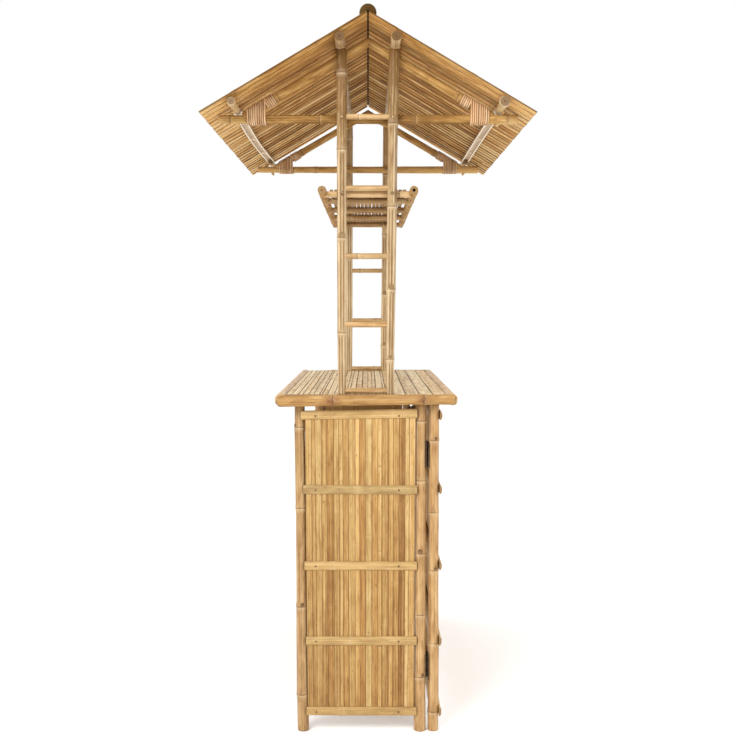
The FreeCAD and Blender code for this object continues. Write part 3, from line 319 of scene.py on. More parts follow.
class Stick:
    """A length of bamboo that stands at the origin along +Z and carries the marks its finish reads."""

    def __init__(
        self, length: float, nodes: Sequence[float], tone: float, chance: random.Random, boldness: float = 1.0
    ) -> None:
        """Start an empty stick.

        Args:
            length: Length along +Z.
            nodes: Heights of its nodes.
            tone: Its place among the finish's tones, from 0, dark, to 1, pale.
            chance: Source of its unevenness.
            boldness: How clearly its nodes are marked.
        """
        self.length = length
        self.nodes = list(nodes)
        self.tone = tone
        self.chance = chance
        self.boldness = boldness
        # Painted light and shade on the tone: fade darkens the stick towards its start, glow paints both ends
        # paler.
        self.fade = 0.0
        self.painted_end_light = 0.0
        self.mesh = marked_mesh()
        layers = self.mesh.verts.layers
        self.marks = {name: layers.float[name] for name in MARKS}
        self.grain = layers.float_vector["grain"]

    def near_node(self, height: float) -> NodeRing:
        """Return how the skin looks at a height.

        Args:
            height: Height on the stick.

        Returns:
            The blend of the two node rings beside that height, or a plain ring away from nodes.
        """
        for node in self.nodes:
            offset = height - node
            for low, high in pairwise(NODE_RINGS):
                if low.offset <= offset <= high.offset:
                    share = (offset - low.offset) / (high.offset - low.offset)
                    return NodeRing(*(start + (end - start) * share for start, end in zip(low, high)))
        return NodeRing()

    def stations(self, step: float, inset: float = 0.004, extra: Sequence[float] = ()) -> list[float]:
        """Return the heights that need a ring of points.

        Args:
            step: Greatest distance between two rings.
            inset: How far the first and the last ring stay from the ends.
            extra: Further heights that need one.

        Returns:
            The heights, lowest first, none nearer than half a millimetre to the next.
        """
        count = max(1, round(self.length / step))
        wanted = [self.length * index / count for index in range(1, count)]
        wanted += [*extra, *(node + ring.offset for node in self.nodes for ring in NODE_RINGS)]
        heights: list[float] = []
        for height in sorted(wanted):
            is_inside = inset < height < self.length - inset
            if is_inside and (not heights or height - heights[-1] > 0.0005):
                heights.append(height)
        return heights

    def write_marks(self) -> None:
        """Write the grain, the tone with its painted light and shade, and the node marks on every point."""
        offset = Vector(self.chance.uniform(-40, 40) for _ in range(3))
        tint = self.chance.random()
        for vert in self.mesh.verts:
            ring = self.near_node(vert.co.z)
            share = vert.co.z / max(self.length, 0.001)
            # Painted light and shade: the tone darkens towards the start by fade and rises at both ends by
            # glow.
            shade = self.fade * (share ** 3 - 1) + self.painted_end_light * (2 * share - 1) ** 4
            vert[self.marks["tint"]] = tint
            vert[self.grain] = vert.co + offset
            vert[self.marks["tone"]] = self.tone + shade
            for name, strength in (("line", ring.line), ("halo", ring.halo)):
                vert[self.marks[name]] = max(vert[self.marks[name]], strength * self.boldness)


class Culm(Stick):
    """A whole culm, spun from its outline."""

    # Painted shade on a groove's flanks and painted highlights on its rims and floor: middle and width of
    # each, in radians.
    FLANK_SHADE = (0.36, 0.19)
    RIM_HIGHLIGHT = (0.76, 0.17)
    FLOOR_HIGHLIGHT = (0.0, 0.13)

    def __init__(
        self, length: float, form: CulmForm, nodes: Sequence[float], tone: float, chance: random.Random,
        knots: Sequence[Knot] = (),
    ) -> None:
        """Spin the culm and give it its nodes, grooves and bends.

        Args:
            length: Length along +Z.
            form: Its radii, ends and unevenness.
            nodes: Heights of its nodes.
            tone: Its place among the finish's tones.
            chance: Source of its unevenness.
            knots: The scars of its branches.
        """
        super().__init__(length, nodes, tone, chance)
        self.form = form
        self.knots = knots
        steps = [Vector((chance.uniform(-1, 1), chance.uniform(-1, 1))) * form.kink for _ in self.nodes]
        straight = Vector((0, 0))
        self.kinks = [(0.0, straight), *zip(self.nodes, steps), (length, straight)]
        self.spin()
        self.shape()

    def radius(self, height: float) -> float:
        """Return the plain radius at a height."""
        return self.form.foot + (self.form.head - self.form.foot) * height / self.length

    def spin(self) -> None:
        """Spin the outline, from the middle of the start to the middle of the end."""
        start, end = (form.value for form in self.form.ends)
        inset = max(start[-1][0], end[-1][0]) + 0.001
        extra = [knot.height + knot.radius * step / 3 for knot in self.knots for step in range(-8, 9)]
        rings = [(depth, self.form.foot * share, sawn, dark) for depth, share, sawn, dark in start]
        rings += [(height, self.radius(height), 0.0, 0.0) for height in self.stations(0.045, inset, extra)]
        for depth, share, sawn, dark in reversed(end):
            rings.append((self.length - depth, self.form.head * share, sawn, dark))
        points = []
        for height, radius, sawn, dark in rings:
            point = self.mesh.verts.new((radius, 0, height))
            point[self.marks["cut"]] = sawn
            point[self.marks["line"]] = dark
            points.append(point)
        lines = [self.mesh.edges.new(pair) for pair in pairwise(points)]
        bmesh.ops.spin(
            self.mesh, geom=points + lines, cent=(0, 0, 0), axis=Z, dvec=(0, 0, 0), angle=math.tau,
            steps=self.form.sides, use_merge=True,
        )
        bmesh.ops.remove_doubles(self.mesh, verts=self.mesh.verts, dist=NEAR)
        bmesh.ops.recalc_face_normals(self.mesh, faces=self.mesh.faces)
        for face in self.mesh.faces:
            face.smooth = abs(face.normal.z) < 0.9 or self.form.ends[0] is EndForm.DOMED

    def sway(self, height: float) -> Vector:
        """Return how far the culm's middle stands off the straight line.

        Args:
            height: Height on the culm.

        Returns:
            The step aside, across and outwards.
        """
        bow = Vector(self.form.bow) * math.sin(math.pi * height / self.length)
        for (low, before), (high, after) in pairwise(self.kinks):
            if low <= height <= high:
                return bow + before.lerp(after, (height - low) / max(high - low, 1e-6))
        return bow

    def groove(self, angle: float, height: float) -> tuple[float, float, float]:
        """Return how the branch groove shapes a point and where shade and highlights are painted on it.

        Args:
            angle: Angle of the point round the culm.
            height: Height of the point.

        Returns:
            The share of the groove's depth, of the shade painted on its flanks, and of the highlight painted
            on its rims and floor.
        """
        index = sum(node <= height for node in self.nodes)
        turns = self.form.turns
        offset = turns[index] if index < len(turns) else math.pi * (index % 2)
        turn = abs(math.remainder(angle - math.pi / 2 - offset, math.tau))
        nearest = min((abs(height - node) for node in self.nodes), default=1.0)
        fade = min(1.0, max(0.0, (nearest - 0.003) / 0.015))
        depth = math.exp(-((turn / 0.5) ** 4))
        pale = bell(turn, *self.RIM_HIGHLIGHT) + 0.5 * bell(turn, *self.FLOOR_HIGHLIGHT)
        return fade * depth, fade * bell(turn, *self.FLANK_SHADE), fade * pale

    def shape(self) -> None:
        """Raise the nodes, sink the grooves with painted shade and highlights, and make the culm a little
        uneven.
        """
        seed = self.chance.uniform(-50, 50)
        form = self.form
        for vert in self.mesh.verts:
            height = vert.co.z
            across = math.hypot(vert.co.x, vert.co.y)
            angle = math.atan2(vert.co.y, vert.co.x)
            rise = form.ridge * self.near_node(height).rise
            if form.groove and across > self.radius(height) * 0.97:
                sunk, flank, rim = self.groove(angle, height)
                rise -= form.groove * sunk
                # Painted shade on the groove's flanks and painted highlights on its rims and floor.
                vert[self.marks["edge"]] = min(0.85, 340 * form.groove * flank)
                vert[self.marks["halo"]] = min(1.0, 420 * form.groove * rim)
            spot = Vector((math.cos(angle) * 0.8, math.sin(angle) * 0.8, height * 9 + seed))
            rise += form.ridge * 0.35 * noise.noise(spot)
            scale = 1 + rise / self.radius(height) if across > 1e-5 else 1
            sway = self.sway(height)
            vert.co.x = vert.co.x * scale + sway.x
            vert.co.y = vert.co.y * scale + sway.y

    def swell(self, knot: Knot) -> Vector:
        """Raise and shade the skin round a knot.

        Args:
            knot: The knot.

        Returns:
            The knot's middle on the skin.
        """
        angle = math.pi / 2 + knot.turn
        radius = self.radius(knot.height)
        for vert in self.mesh.verts:
            turn = math.remainder(math.atan2(vert.co.y, vert.co.x) - angle, math.tau)
            reach = math.hypot(turn * radius, vert.co.z - knot.height) / (1.5 * knot.radius)
            swell = math.exp(-reach ** 2)
            rough = 0.75 + 0.9 * noise.noise(vert.co * 260)
            scale = 1 + 0.12 * knot.radius / radius * swell * rough
            vert.co.x *= scale
            vert.co.y *= scale
            vert[self.marks["edge"]] = max(vert[self.marks["edge"]], knot.shade * swell * rough)
        sway = self.sway(knot.height)
        return Vector((math.cos(angle) * radius + sway.x, math.sin(angle) * radius + sway.y, knot.height))


class HalfCulm(Culm):
    """A culm split along its length: skin on +Y, a flat back at y = 0."""

    def __init__(
        self, length: float, form: CulmForm, depth: float, nodes: Sequence[float], tone: float,
        chance: random.Random,
    ) -> None:
        """Spin a culm, flatten it and split off its back.

        Args:
            length: Length along +Z.
            form: Radii, ends and unevenness of the culm.
            depth: How far the skin stands off the flat back.
            nodes: Heights of its nodes.
            tone: Its place among the finish's tones.
            chance: Source of its unevenness.
        """
        super().__init__(length, form, nodes, tone, chance)
        bmesh.ops.scale(self.mesh, vec=(1, depth / form.foot, 1), verts=self.mesh.verts)
        cut(self.mesh, (0, 0, 0), -Y, drop=True)
        for face in close(self.mesh):
            face.smooth = False
        bmesh.ops.recalc_face_normals(self.mesh, faces=self.mesh.faces)


class Channel(Stick):
    """A split culm with its wall showing: skin on +Y, hollow below."""

    def __init__(
        self, length: float, radius: float, wall: float, nodes: Sequence[float], tone: float,
        chance: random.Random, bow: float = 0.0,
    ) -> None:
        """Spin half a wall, close its two long edges and set a wall across each node.

        Args:
            length: Length along +Z.
            radius: Outer radius.
            wall: Thickness of the wall.
            nodes: Heights of its nodes.
            tone: Its place among the finish's tones.
            chance: Source of its unevenness.
            bow: How far its middle stands off the straight line, along X.
        """
        super().__init__(length, nodes, tone, chance)
        heights = [0.0, *self.stations(0.05), length]
        outer = [self.mesh.verts.new((radius, 0, height)) for height in heights]
        inner = [self.mesh.verts.new((radius - wall, 0, height)) for height in heights]
        for point in inner:
            point[self.marks["pith"]] = 1.0
        loop = outer + inner[::-1]
        lines = [self.mesh.edges.new(pair) for pair in zip(loop, loop[1:] + loop[:1])]
        bmesh.ops.spin(
            self.mesh, geom=loop + lines, cent=(0, 0, 0), axis=Z, dvec=(0, 0, 0), angle=math.pi, steps=12,
            use_merge=False,
        )
        for face in self.mesh.faces:
            face.smooth = True
        for face in close(self.mesh):
            face.smooth = False
        bmesh.ops.recalc_face_normals(self.mesh, faces=self.mesh.faces)
        reach = radius - wall / 2
        for node in self.nodes:
            disc = HalfCulm(0.004, CulmForm.rod(reach, reach, 20), reach, (), tone, chance)
            for vert in disc.mesh.verts:
                vert[disc.marks["pith"]] = 1.0
                vert[disc.marks["cut"]] = 0.0
            join(self.mesh, disc, Matrix.Translation((0, 0, node - 0.002)))
        for vert in self.mesh.verts:
            is_skin = math.hypot(vert.co.x, vert.co.y) > radius - wall / 3
            # Painted highlight: the split rims are painted pale.
            if abs(vert.co.y) < 1e-4:
                vert[self.marks["halo"]] = 1.8
            rise = 0.0009 * self.near_node(vert.co.z).rise if is_skin else 0.0
            vert.co.y *= 1 + rise / radius
            vert.co.x = vert.co.x * (1 + rise / radius) + bow * math.sin(math.pi * vert.co.z / length)


class Slat(Stick):
    """A slat split from a thick culm: skin on +Y, width along X."""

    def __init__(
        self, length: float, width: float, thickness: float, nodes: Sequence[float], tone: float,
        chance: random.Random, crown: float = 0.0004, bend: float = 0.0004, flare: float = 0.0,
        painted_seam_shade: float = 0.0, painted_seam_width: float = 0.08, belly: float = 0.0,
    ) -> None:
        """Cut the slat from a block, round its long edges and let it wander a little.

        Args:
            length: Length along +Z.
            width: Width along X.
            thickness: Thickness along Y, from 0.
            nodes: Heights of its nodes.
            tone: Its place among the finish's tones.
            chance: Source of its unevenness.
            crown: How far its skin curves.
            bend: How far it may wander sideways.
            flare: How much wider its end is than its start, as a share of its width.
            painted_seam_shade: How dark the shade painted along its long edges is.
            painted_seam_width: How wide the painted edge shade is, as a share of its width.
            belly: How far its inner side curves.
        """
        super().__init__(length, nodes, tone, chance, boldness=0.15 + 0.75 * chance.random() ** 4)
        mesh = self.mesh
        marks = self.marks
        bmesh.ops.create_cube(mesh, size=1)
        bmesh.ops.scale(mesh, vec=(width, thickness - crown, length), verts=mesh.verts)
        bmesh.ops.translate(mesh, vec=(0, (thickness - crown) / 2, length / 2), verts=mesh.verts)
        long_edges = [edge for edge in mesh.edges if edge.calc_length() > length * 0.99]
        bmesh.ops.bevel(
            mesh, geom=long_edges, offset=min(thickness * 0.18, 0.0016), segments=1, profile=0.5,
            affect="EDGES", material=-1,
        )
        half = 0.5 - painted_seam_width
        lines = (-half, 0.04 - half, 0.0, half - 0.04, half) if painted_seam_shade else (0.0,)
        painted_edge_shades = [painted_seam_shade * chance.uniform(0.35, 1.0) for _ in range(2)] if painted_seam_shade else (0.0, 0.0)
        for height in (0.0015, *self.stations(0.09), length - 0.0015):
            cut(mesh, (0, 0, height), Z)
        for line in lines:
            cut(mesh, (line * width, 0, 0), X)
        seed = chance.uniform(-50, 50)
        for vert in mesh.verts:
            is_skin = vert.co.y > thickness / 2
            share = abs(vert.co.x) / (width / 2)
            is_seam = share > 2 * half - 0.01
            # Painted shade: the slat's sides take the dark side colour in full and its long edges in part,
            # for the shade in the gaps between slats.
            vert[marks["edge"]] = 1.0 if share > 0.999 else painted_edge_shades[vert.co.x > 0] if is_seam else 0.0
            vert[marks["pith"]] = 0.0 if is_skin else 1.0
            vert[marks["cut"]] = 1.0 if vert.co.z < 1e-5 or vert.co.z > length - 1e-5 else 0.0
            if is_skin:
                vert.co.y += crown * (1 - share ** 2) + 0.6 * crown * self.near_node(vert.co.z).rise
            else:
                vert.co.y += belly * share ** 2
            fade = math.sin(math.pi * vert.co.z / length)
            vert.co.x *= 1 + flare * vert.co.z / length
            vert.co.x += bend * fade * noise.noise(Vector((seed, 0.3, vert.co.z * 3)))


class Strand(Stick):
    """A flat rattan strand that is wound along a path."""

    def __init__(
        self, places: Sequence[Matrix], width: float, thickness: float, chance: random.Random
    ) -> None:
        """Draw a ring of points along the path.

        Args:
            places: Places along the path, whose X is the strand's width and Y looks outwards.
            width: Width of the strand.
            thickness: Thickness of the strand.
            chance: Source of its unevenness.
        """
        super().__init__(0.0, (), 0.5, chance)
        section = bmesh.ops.create_circle(self.mesh, cap_ends=False, segments=10, radius=0.5)["verts"]
        bmesh.ops.scale(self.mesh, vec=(width, thickness, 1), verts=section)
        for vert in section:
            vert[self.grain] = vert.co
        bmesh.ops.transform(self.mesh, matrix=places[0], verts=section)
        rim = list(self.mesh.edges)
        along = chance.uniform(-40, 40)
        for place, following in pairwise(places):
            drawn = bmesh.ops.extrude_edge_only(self.mesh, edges=rim)["geom"]
            section = [item for item in drawn if isinstance(item, bmesh.types.BMVert)]
            rim = [item for item in drawn if isinstance(item, bmesh.types.BMEdge)]
            bmesh.ops.transform(self.mesh, matrix=following @ place.inverted(), verts=section)
            along += (following.translation - place.translation).length
            for vert in section:
                flat = following.inverted() @ vert.co
                vert[self.grain] = Vector((flat.x, flat.y, along))
                vert[self.marks["tone"]] = 0.5 + 0.5 * noise.noise(Vector((along * 14, 0.7, 0.1)))
                vert[self.marks["tint"]] = 0.5 + noise.noise(Vector((along * 9, 3.7, 0.1)))
                vert[self.marks["edge"]] = 1.0 if abs(flat.x) > width * 0.36 else 0.0
        for face in self.mesh.faces:
            face.smooth = True
        close(self.mesh)
        bmesh.ops.recalc_face_normals(self.mesh, faces=self.mesh.faces)

    def write_marks(self) -> None:
        """Keep the marks, because they were written along the path."""


def join(target: Mesh, stick: Stick, place: Matrix) -> None:
    """Lay a stick in a larger mesh.

    Args:
        target: Mesh that takes the stick.
        stick: The stick, which is used up.
        place: Where its foot goes and how it lies.
    """
    stick.write_marks()
    stick.mesh.transform(place)
    scratch = bpy.data.meshes.new("scratch")
    stick.mesh.to_mesh(scratch)
    target.from_mesh(scratch)
    bpy.data.meshes.remove(scratch)
    stick.mesh.free()


# Finishes
class Shader:
    """A material under construction, with short ways to add its nodes."""

    def __init__(self, name: str) -> None:
        """Start a material with a bare surface shader.

        Args:
            name: Name of the material.
        """
        self.material = bpy.data.materials.new(name)
        self.material.use_nodes = True
        self.tree = self.material.node_tree
        self.tree.nodes.clear()
        self.surface = self.tree.nodes.new("ShaderNodeBsdfPrincipled")
        output = self.tree.nodes.new("ShaderNodeOutputMaterial")
        self.tree.links.new(self.surface.outputs["BSDF"], output.inputs["Surface"])

    def put(self, socket: Socket, value: object) -> None:
        """Join a socket to another, or set its value.

        Args:
            socket: The socket.
            value: The other socket or the value.
        """
        if isinstance(value, Socket):
            self.tree.links.new(value, socket)
        else:
            socket.default_value = value

    def feed(self, node: bpy.types.Node, **values: object) -> None:
        """Join or set a node's inputs, each under its name with low lines for spaces."""
        for name, value in values.items():
            self.put(node.inputs[name.replace("_", " ")], value)

    def add(self, kind: str, output: str, **values: object) -> Socket:
        """Add a node.

        Args:
            kind: The node's kind, after the words ShaderNode.
            output: Name of the output that is wanted.
            values: What its inputs get.

        Returns:
            That output.
        """
        node = self.tree.nodes.new(f"ShaderNode{kind}")
        self.feed(node, **values)
        return node.outputs[output]

    def attribute(self, name: str) -> Socket:
        """Return a mark's value.

        Args:
            name: Name of the mark.

        Returns:
            The socket that carries it.
        """
        node = self.tree.nodes.new("ShaderNodeAttribute")
        node.attribute_name = name
        return node.outputs["Vector" if name == "grain" else "Fac"]

    def noise(self, vector: Socket, scale: Sequence[float], detail: float, distortion: float = 0.0) -> Socket:
        """Return a noise on stretched coordinates."""
        place = self.add("Mapping", "Vector", Vector=vector, Scale=scale)
        return self.add("TexNoise", "Fac", Vector=place, Scale=1.0, Detail=detail, Distortion=distortion)

    def range(self, value: Socket, low: float, high: float, start: float = 0.0, end: float = 1.0) -> Socket:
        """Return a value mapped from one range to another and kept within it."""
        ends = {"From_Min": low, "From_Max": high, "To_Min": start, "To_Max": end}
        return self.add("MapRange", "Result", Value=value, **ends)

    def math(self, operation: str, first: Socket, second: Socket | float) -> Socket:
        """Return the result of a sum on two values.

        Args:
            operation: Name of the sum.
            first: The first value.
            second: The second value.

        Returns:
            The result's socket.
        """
        node = self.tree.nodes.new("ShaderNodeMath")
        node.operation = operation
        self.put(node.inputs[0], first)
        self.put(node.inputs[1], second)
        return node.outputs[0]

    def ramp(self, value: Socket, tones: Sequence[Colour]) -> Socket:
        """Return a colour from evenly spaced tones.

        Args:
            value: Place among the tones, from 0 to 1.
            tones: The tones, first to last.

        Returns:
            The colour's socket.
        """
        node = self.tree.nodes.new("ShaderNodeValToRGB")
        self.feed(node, Fac=value)
        elements = node.color_ramp.elements
        while len(elements) < len(tones):
            elements.new(0.5)
        for index, tone in enumerate(tones):
            elements[index].position = index / (len(tones) - 1)
            elements[index].color = (*tone, 1)
        return node.outputs["Color"]

    def mix(
        self, share: Socket | float, first: Socket | Colour, second: Socket | Colour, blend: str = "MIX"
    ) -> Socket:
        """Return a mix of two colours.

        Args:
            share: How much of the second colour shows.
            first: The first colour.
            second: The second colour.
            blend: How the second lies over the first.

        Returns:
            The colour's socket.
        """
        node = self.tree.nodes.new("ShaderNodeMix")
        node.data_type = "RGBA"
        node.blend_type = blend
        self.feed(node, Factor=share)
        for name, colour in (("A", first), ("B", second)):
            socket = next(item for item in node.inputs if item.name == name and item.type == "RGBA")
            self.put(socket, (*colour, 1) if isinstance(colour, tuple) else colour)
        return next(item for item in node.outputs if item.type == "RGBA")

    def bump(self, height: Socket, strength: float, distance: float) -> None:
        """Let a height disturb the surface."""
        normal = self.add("Bump", "Normal", Strength=strength, Distance=distance, Height=height)
        self.feed(self.surface, Normal=normal)


@dataclass(frozen=True)
class CaneFinish:
    """A finish for bamboo or rattan.

    Attributes:
        name: Name of the material.
        slot: Slot of the record that it belongs to; not used.
        tones: Skin tones, darkest first.
        blotch: Colour of the cloudy patches.
        line: Colour of the node lines.
        halo: Colour of the waxy band under a node, and of the highlights painted on groove rims and floors
            and on split rims.
        cut: Colour of a cut end.
        side: Colour of the shade painted on a slat's sides and seams and in a groove's flanks, and of the
            dark skin round a knot.
        pith: Colour of the inner side.
        blotches: How strong the patches are.
        streaks: How far the streaks move the tone.
        mottle: How far the cloudy patches move the tone.
        specks: How strong the dark specks are.
        inner: How much of the inner colour shows on the inner side.
        roughness: Roughness of the skin.
        gloss: Weight of the waxy coat.
        specular: Strength of the mirror reflection.
    """

    name: str
    slot: str
    tones: tuple[Colour, ...]
    blotch: Colour = (0.25, 0.13, 0.045)
    line: Colour = (0.11, 0.05, 0.018)
    halo: Colour = (0.68, 0.52, 0.31)
    cut: Colour = (0.27, 0.165, 0.075)
    side: Colour = (0.20, 0.095, 0.032)
    pith: Colour = (0.58, 0.39, 0.19)
    blotches: float = 0.35
    streaks: float = 0.5
    mottle: float = 0.4
    specks: float = 0.5
    inner: float = 0.0
    roughness: float = 0.42
    gloss: float = 0.04
    specular: float = 0.2

    def material(self) -> bpy.types.Material:
        """Build the finish's nodes.

        Returns:
            The material, which reads the grain and the marks of its sticks.
        """
        shader = Shader(self.name)
        grain, tone, tint, line, halo, sawn, edge, pith = map(shader.attribute, ("grain", *MARKS))
        fibre = shader.noise(grain, (600, 600, 9), 3)
        streak = shader.noise(grain, (260, 260, 1.5), 3, 0.1)
        cloud = shader.noise(grain, (60, 60, 16), 4, 0.5)
        fleck = shader.noise(grain, (430, 430, 50), 3)
        pores = shader.noise(grain, (1100, 1100, 1), 1)
        for moved in (
            shader.range(streak, 0.25, 0.75, -self.streaks / 2, self.streaks / 2),
            shader.range(fibre, 0.3, 0.7, -0.2, 0.2),
            shader.range(cloud, 0.3, 0.7, self.mottle / 2, -self.mottle / 2),
        ):
            tone = shader.math("ADD", tone, moved)
        hue = shader.mix(tint, (1.0, 0.91, 0.78), (0.95, 0.99, 1.0))
        colour = shader.mix(1.0, shader.ramp(tone, self.tones), hue, "MULTIPLY")
        ragged = shader.math("ADD", line, shader.range(cloud, 0.3, 0.7, -0.3, 0.3))
        for share, over in (
            (shader.range(cloud, 0.5, 0.76, 0, self.blotches), self.blotch),
            (shader.range(fleck, 0.62, 0.74, 0, self.specks), self.line),
            (shader.math("MULTIPLY", pith, self.inner), self.pith),
            # The halo mark lays the waxy band and painted highlights; the edge mark lays painted shade on
            # slat sides, seams and groove flanks, and the dark skin round knots.
            (shader.math("MULTIPLY", halo, 0.5), self.halo),
            (shader.math("MULTIPLY", edge, 0.85), self.side),
            (sawn, shader.mix(shader.range(pores, 0.55, 0.68, 0, 0.6), self.cut, self.line)),
            (shader.math("MULTIPLY", line, shader.range(ragged, 0.1, 0.8, 0.0, 0.85)), self.line),
        ):
            colour = shader.mix(share, colour, over)
        shader.feed(
            shader.surface, Base_Color=colour, Coat_Roughness=0.3, Specular_IOR_Level=self.specular,
            Roughness=shader.range(cloud, 0.3, 0.7, self.roughness - 0.06, self.roughness + 0.1),
            Coat_Weight=shader.range(edge, 0, 0.6, self.gloss, 0),
        )
        shader.bump(shader.math("ADD", fibre, shader.math("MULTIPLY", streak, 1.5)), 0.35, 0.0005)
        return shader.material


@dataclass(frozen=True)
class MetalFinish:
    """A finish for the small ironwork.

    Attributes:
        name: Name of the material.
        slot: Slot of the record that it belongs to; not used.
        base: Colour of the bare metal.
        tarnish: Colour of the tarnished patches.
        roughness: Roughness of the bare metal.
    """

    name: str
    slot: str
    base: Colour
    tarnish: Colour
    roughness: float = 0.35

    def material(self) -> bpy.types.Material:
        """Build the finish's nodes on object coordinates.

        Returns:
            The material.
        """
        shader = Shader(self.name)
        place = shader.add("TexCoord", "Object")
        patch = shader.noise(place, (160, 160, 160), 4, 0.5)
        shader.feed(
            shader.surface, Metallic=0.9,
            Base_Color=shader.mix(shader.range(patch, 0.42, 0.62), self.base, self.tarnish),
            Roughness=shader.range(patch, 0.3, 0.7, self.roughness, self.roughness + 0.3),
        )
        shader.bump(shader.noise(place, (2400, 2400, 300), 2), 0.15, 0.0003)
        return shader.material


class Finish(Enum):
    """The finishes of the bar's pieces."""

    POLE = CaneFinish(
        "bamboo_pole", "bamboo_pole",
        ((0.235, 0.122, 0.045), (0.37, 0.224, 0.097), (0.48, 0.316, 0.157), (0.61, 0.438, 0.248)),
        cut=(0.125, 0.064, 0.020), streaks=0.6, mottle=0.5, specks=0.6,
    )
    # Painted light and shade: the pale halo colour is painted on groove rims and floors as highlight, the
    # dark side colour on groove flanks as shade.
    LADDER = CaneFinish(
        "ladder_pole", "bamboo_pole",
        ((0.16, 0.082, 0.024), (0.33, 0.221, 0.110), (0.43, 0.308, 0.168), (0.57, 0.44, 0.268)),
        side=(0.17, 0.085, 0.032), halo=(0.78, 0.64, 0.42), streaks=0.7, mottle=0.5,
    )
    TRIM = CaneFinish(
        "trim_pole", "bamboo_pole",
        ((0.21, 0.11, 0.038), (0.34, 0.198, 0.072), (0.42, 0.262, 0.107), (0.56, 0.40, 0.225)),
        side=(0.20, 0.085, 0.028), streaks=0.6, mottle=0.5, specks=0.6,
    )
    TRUSS = CaneFinish(
        "truss_pole", "bamboo_pole",
        ((0.15, 0.070, 0.020), (0.29, 0.155, 0.048), (0.42, 0.25, 0.088), (0.56, 0.38, 0.17)),
        halo=(0.52, 0.35, 0.16), streaks=0.7, mottle=0.6, specks=0.7, roughness=0.6, gloss=0.0,
        specular=0.06,
    )
    # Painted shade: the dark side colour is laid on the slats' sides and long edges for the shade in the gaps
    # between them.
    SLAT = CaneFinish(
        "bamboo_slat", "bamboo_slat",
        ((0.18, 0.080, 0.020), (0.335, 0.185, 0.060), (0.455, 0.285, 0.108), (0.59, 0.405, 0.185)),
        side=(0.13, 0.06, 0.018), halo=(0.58, 0.42, 0.21), pith=(0.26, 0.14, 0.045), blotches=0.25,
        streaks=0.65, mottle=0.3, specks=1.0, inner=0.8, roughness=0.55,
    )
    BATTEN = CaneFinish(
        "bamboo_batten", "bamboo_batten",
        ((0.25, 0.145, 0.054), (0.375, 0.237, 0.093), (0.46, 0.308, 0.13), (0.57, 0.395, 0.19)),
        blotches=0.28, specks=0.6,
    )
    # Painted shade: the dark side colour is laid on the slats' sides and long edges for the shade in the gaps
    # between them.
    COUNTER = CaneFinish(
        "counter_slat", "bamboo_slat",
        ((0.29, 0.175, 0.075), (0.50, 0.35, 0.175), (0.63, 0.48, 0.26), (0.73, 0.59, 0.37)),
        side=(0.10, 0.045, 0.012), streaks=0.9, specks=0.9, specular=0.1,
    )
    # Painted shade: the near-black side colour is laid on the slats' sides and long edges for the shade in
    # the gaps between them.
    ROOF = CaneFinish(
        "roof_slat", "roof_slat",
        ((0.14, 0.050, 0.009), (0.37, 0.175, 0.040), (0.54, 0.29, 0.080), (0.77, 0.52, 0.24)),
        side=(0.055, 0.022, 0.007), halo=(0.36, 0.19, 0.06), blotches=0.4, streaks=0.6, mottle=0.5,
        specks=0.9, roughness=0.6, gloss=0.0, specular=0.08,
    )
    WEATHERED = CaneFinish(
        "weathered_pole", "weathered_pole",
        ((0.035, 0.018, 0.003), (0.075, 0.040, 0.007), (0.12, 0.068, 0.013), (0.19, 0.115, 0.026)),
        blotch=(0.02, 0.010, 0.003), halo=(0.18, 0.11, 0.035), cut=(0.05, 0.026, 0.005), blotches=0.6,
        roughness=0.7, gloss=0.0, specular=0.08,
    )
    # Painted highlight: the pale halo colour is painted on the channel's split rims as well as under its
    # nodes.
    CHANNEL = CaneFinish(
        "split_purlin", "bamboo_pole",
        ((0.32, 0.19, 0.08), (0.44, 0.29, 0.13), (0.52, 0.36, 0.17), (0.60, 0.44, 0.24)),
        cut=(0.20, 0.125, 0.06), pith=(0.60, 0.48, 0.35), halo=(0.88, 0.79, 0.64), inner=0.85,
        roughness=0.55,
    )
    RATTAN = CaneFinish(
        "rattan", "rattan",
        ((0.34, 0.185, 0.085), (0.53, 0.33, 0.18), (0.64, 0.42, 0.245), (0.76, 0.55, 0.36)),
        side=(0.09, 0.035, 0.015), blotches=0.25, roughness=0.5,
    )
    BEARER = CaneFinish(
        "bearer_wood", "bearer_wood",
        ((0.29, 0.16, 0.06), (0.38, 0.22, 0.09), (0.46, 0.28, 0.12), (0.54, 0.35, 0.17)),
        blotches=0.3, roughness=0.7, gloss=0.0,
    )
    DOWEL = CaneFinish(
        "dowel_wood", "dowel_wood",
        ((0.40, 0.25, 0.11), (0.49, 0.32, 0.15), (0.56, 0.38, 0.19), (0.62, 0.44, 0.24)),
        blotches=0.2, roughness=0.6, gloss=0.0,
    )
    # Painted shade: the hinge's base colour is darkened to brown for the shade of the slot it sits in.
    HINGE = MetalFinish("hinge_steel", "hinge_steel", (0.20, 0.135, 0.085), (0.08, 0.045, 0.025))
    BOLT = MetalFinish("bolt_steel", "hinge_steel", (0.42, 0.29, 0.15), (0.15, 0.09, 0.04), 0.5)
    NAIL = MetalFinish("nail_steel", "nail_steel", (0.16, 0.11, 0.07), (0.07, 0.04, 0.022), 0.5)


@cache
def material_of(finish: Finish) -> bpy.types.Material:
    """Return a finish's material, made on first use."""
    return finish.value.material()


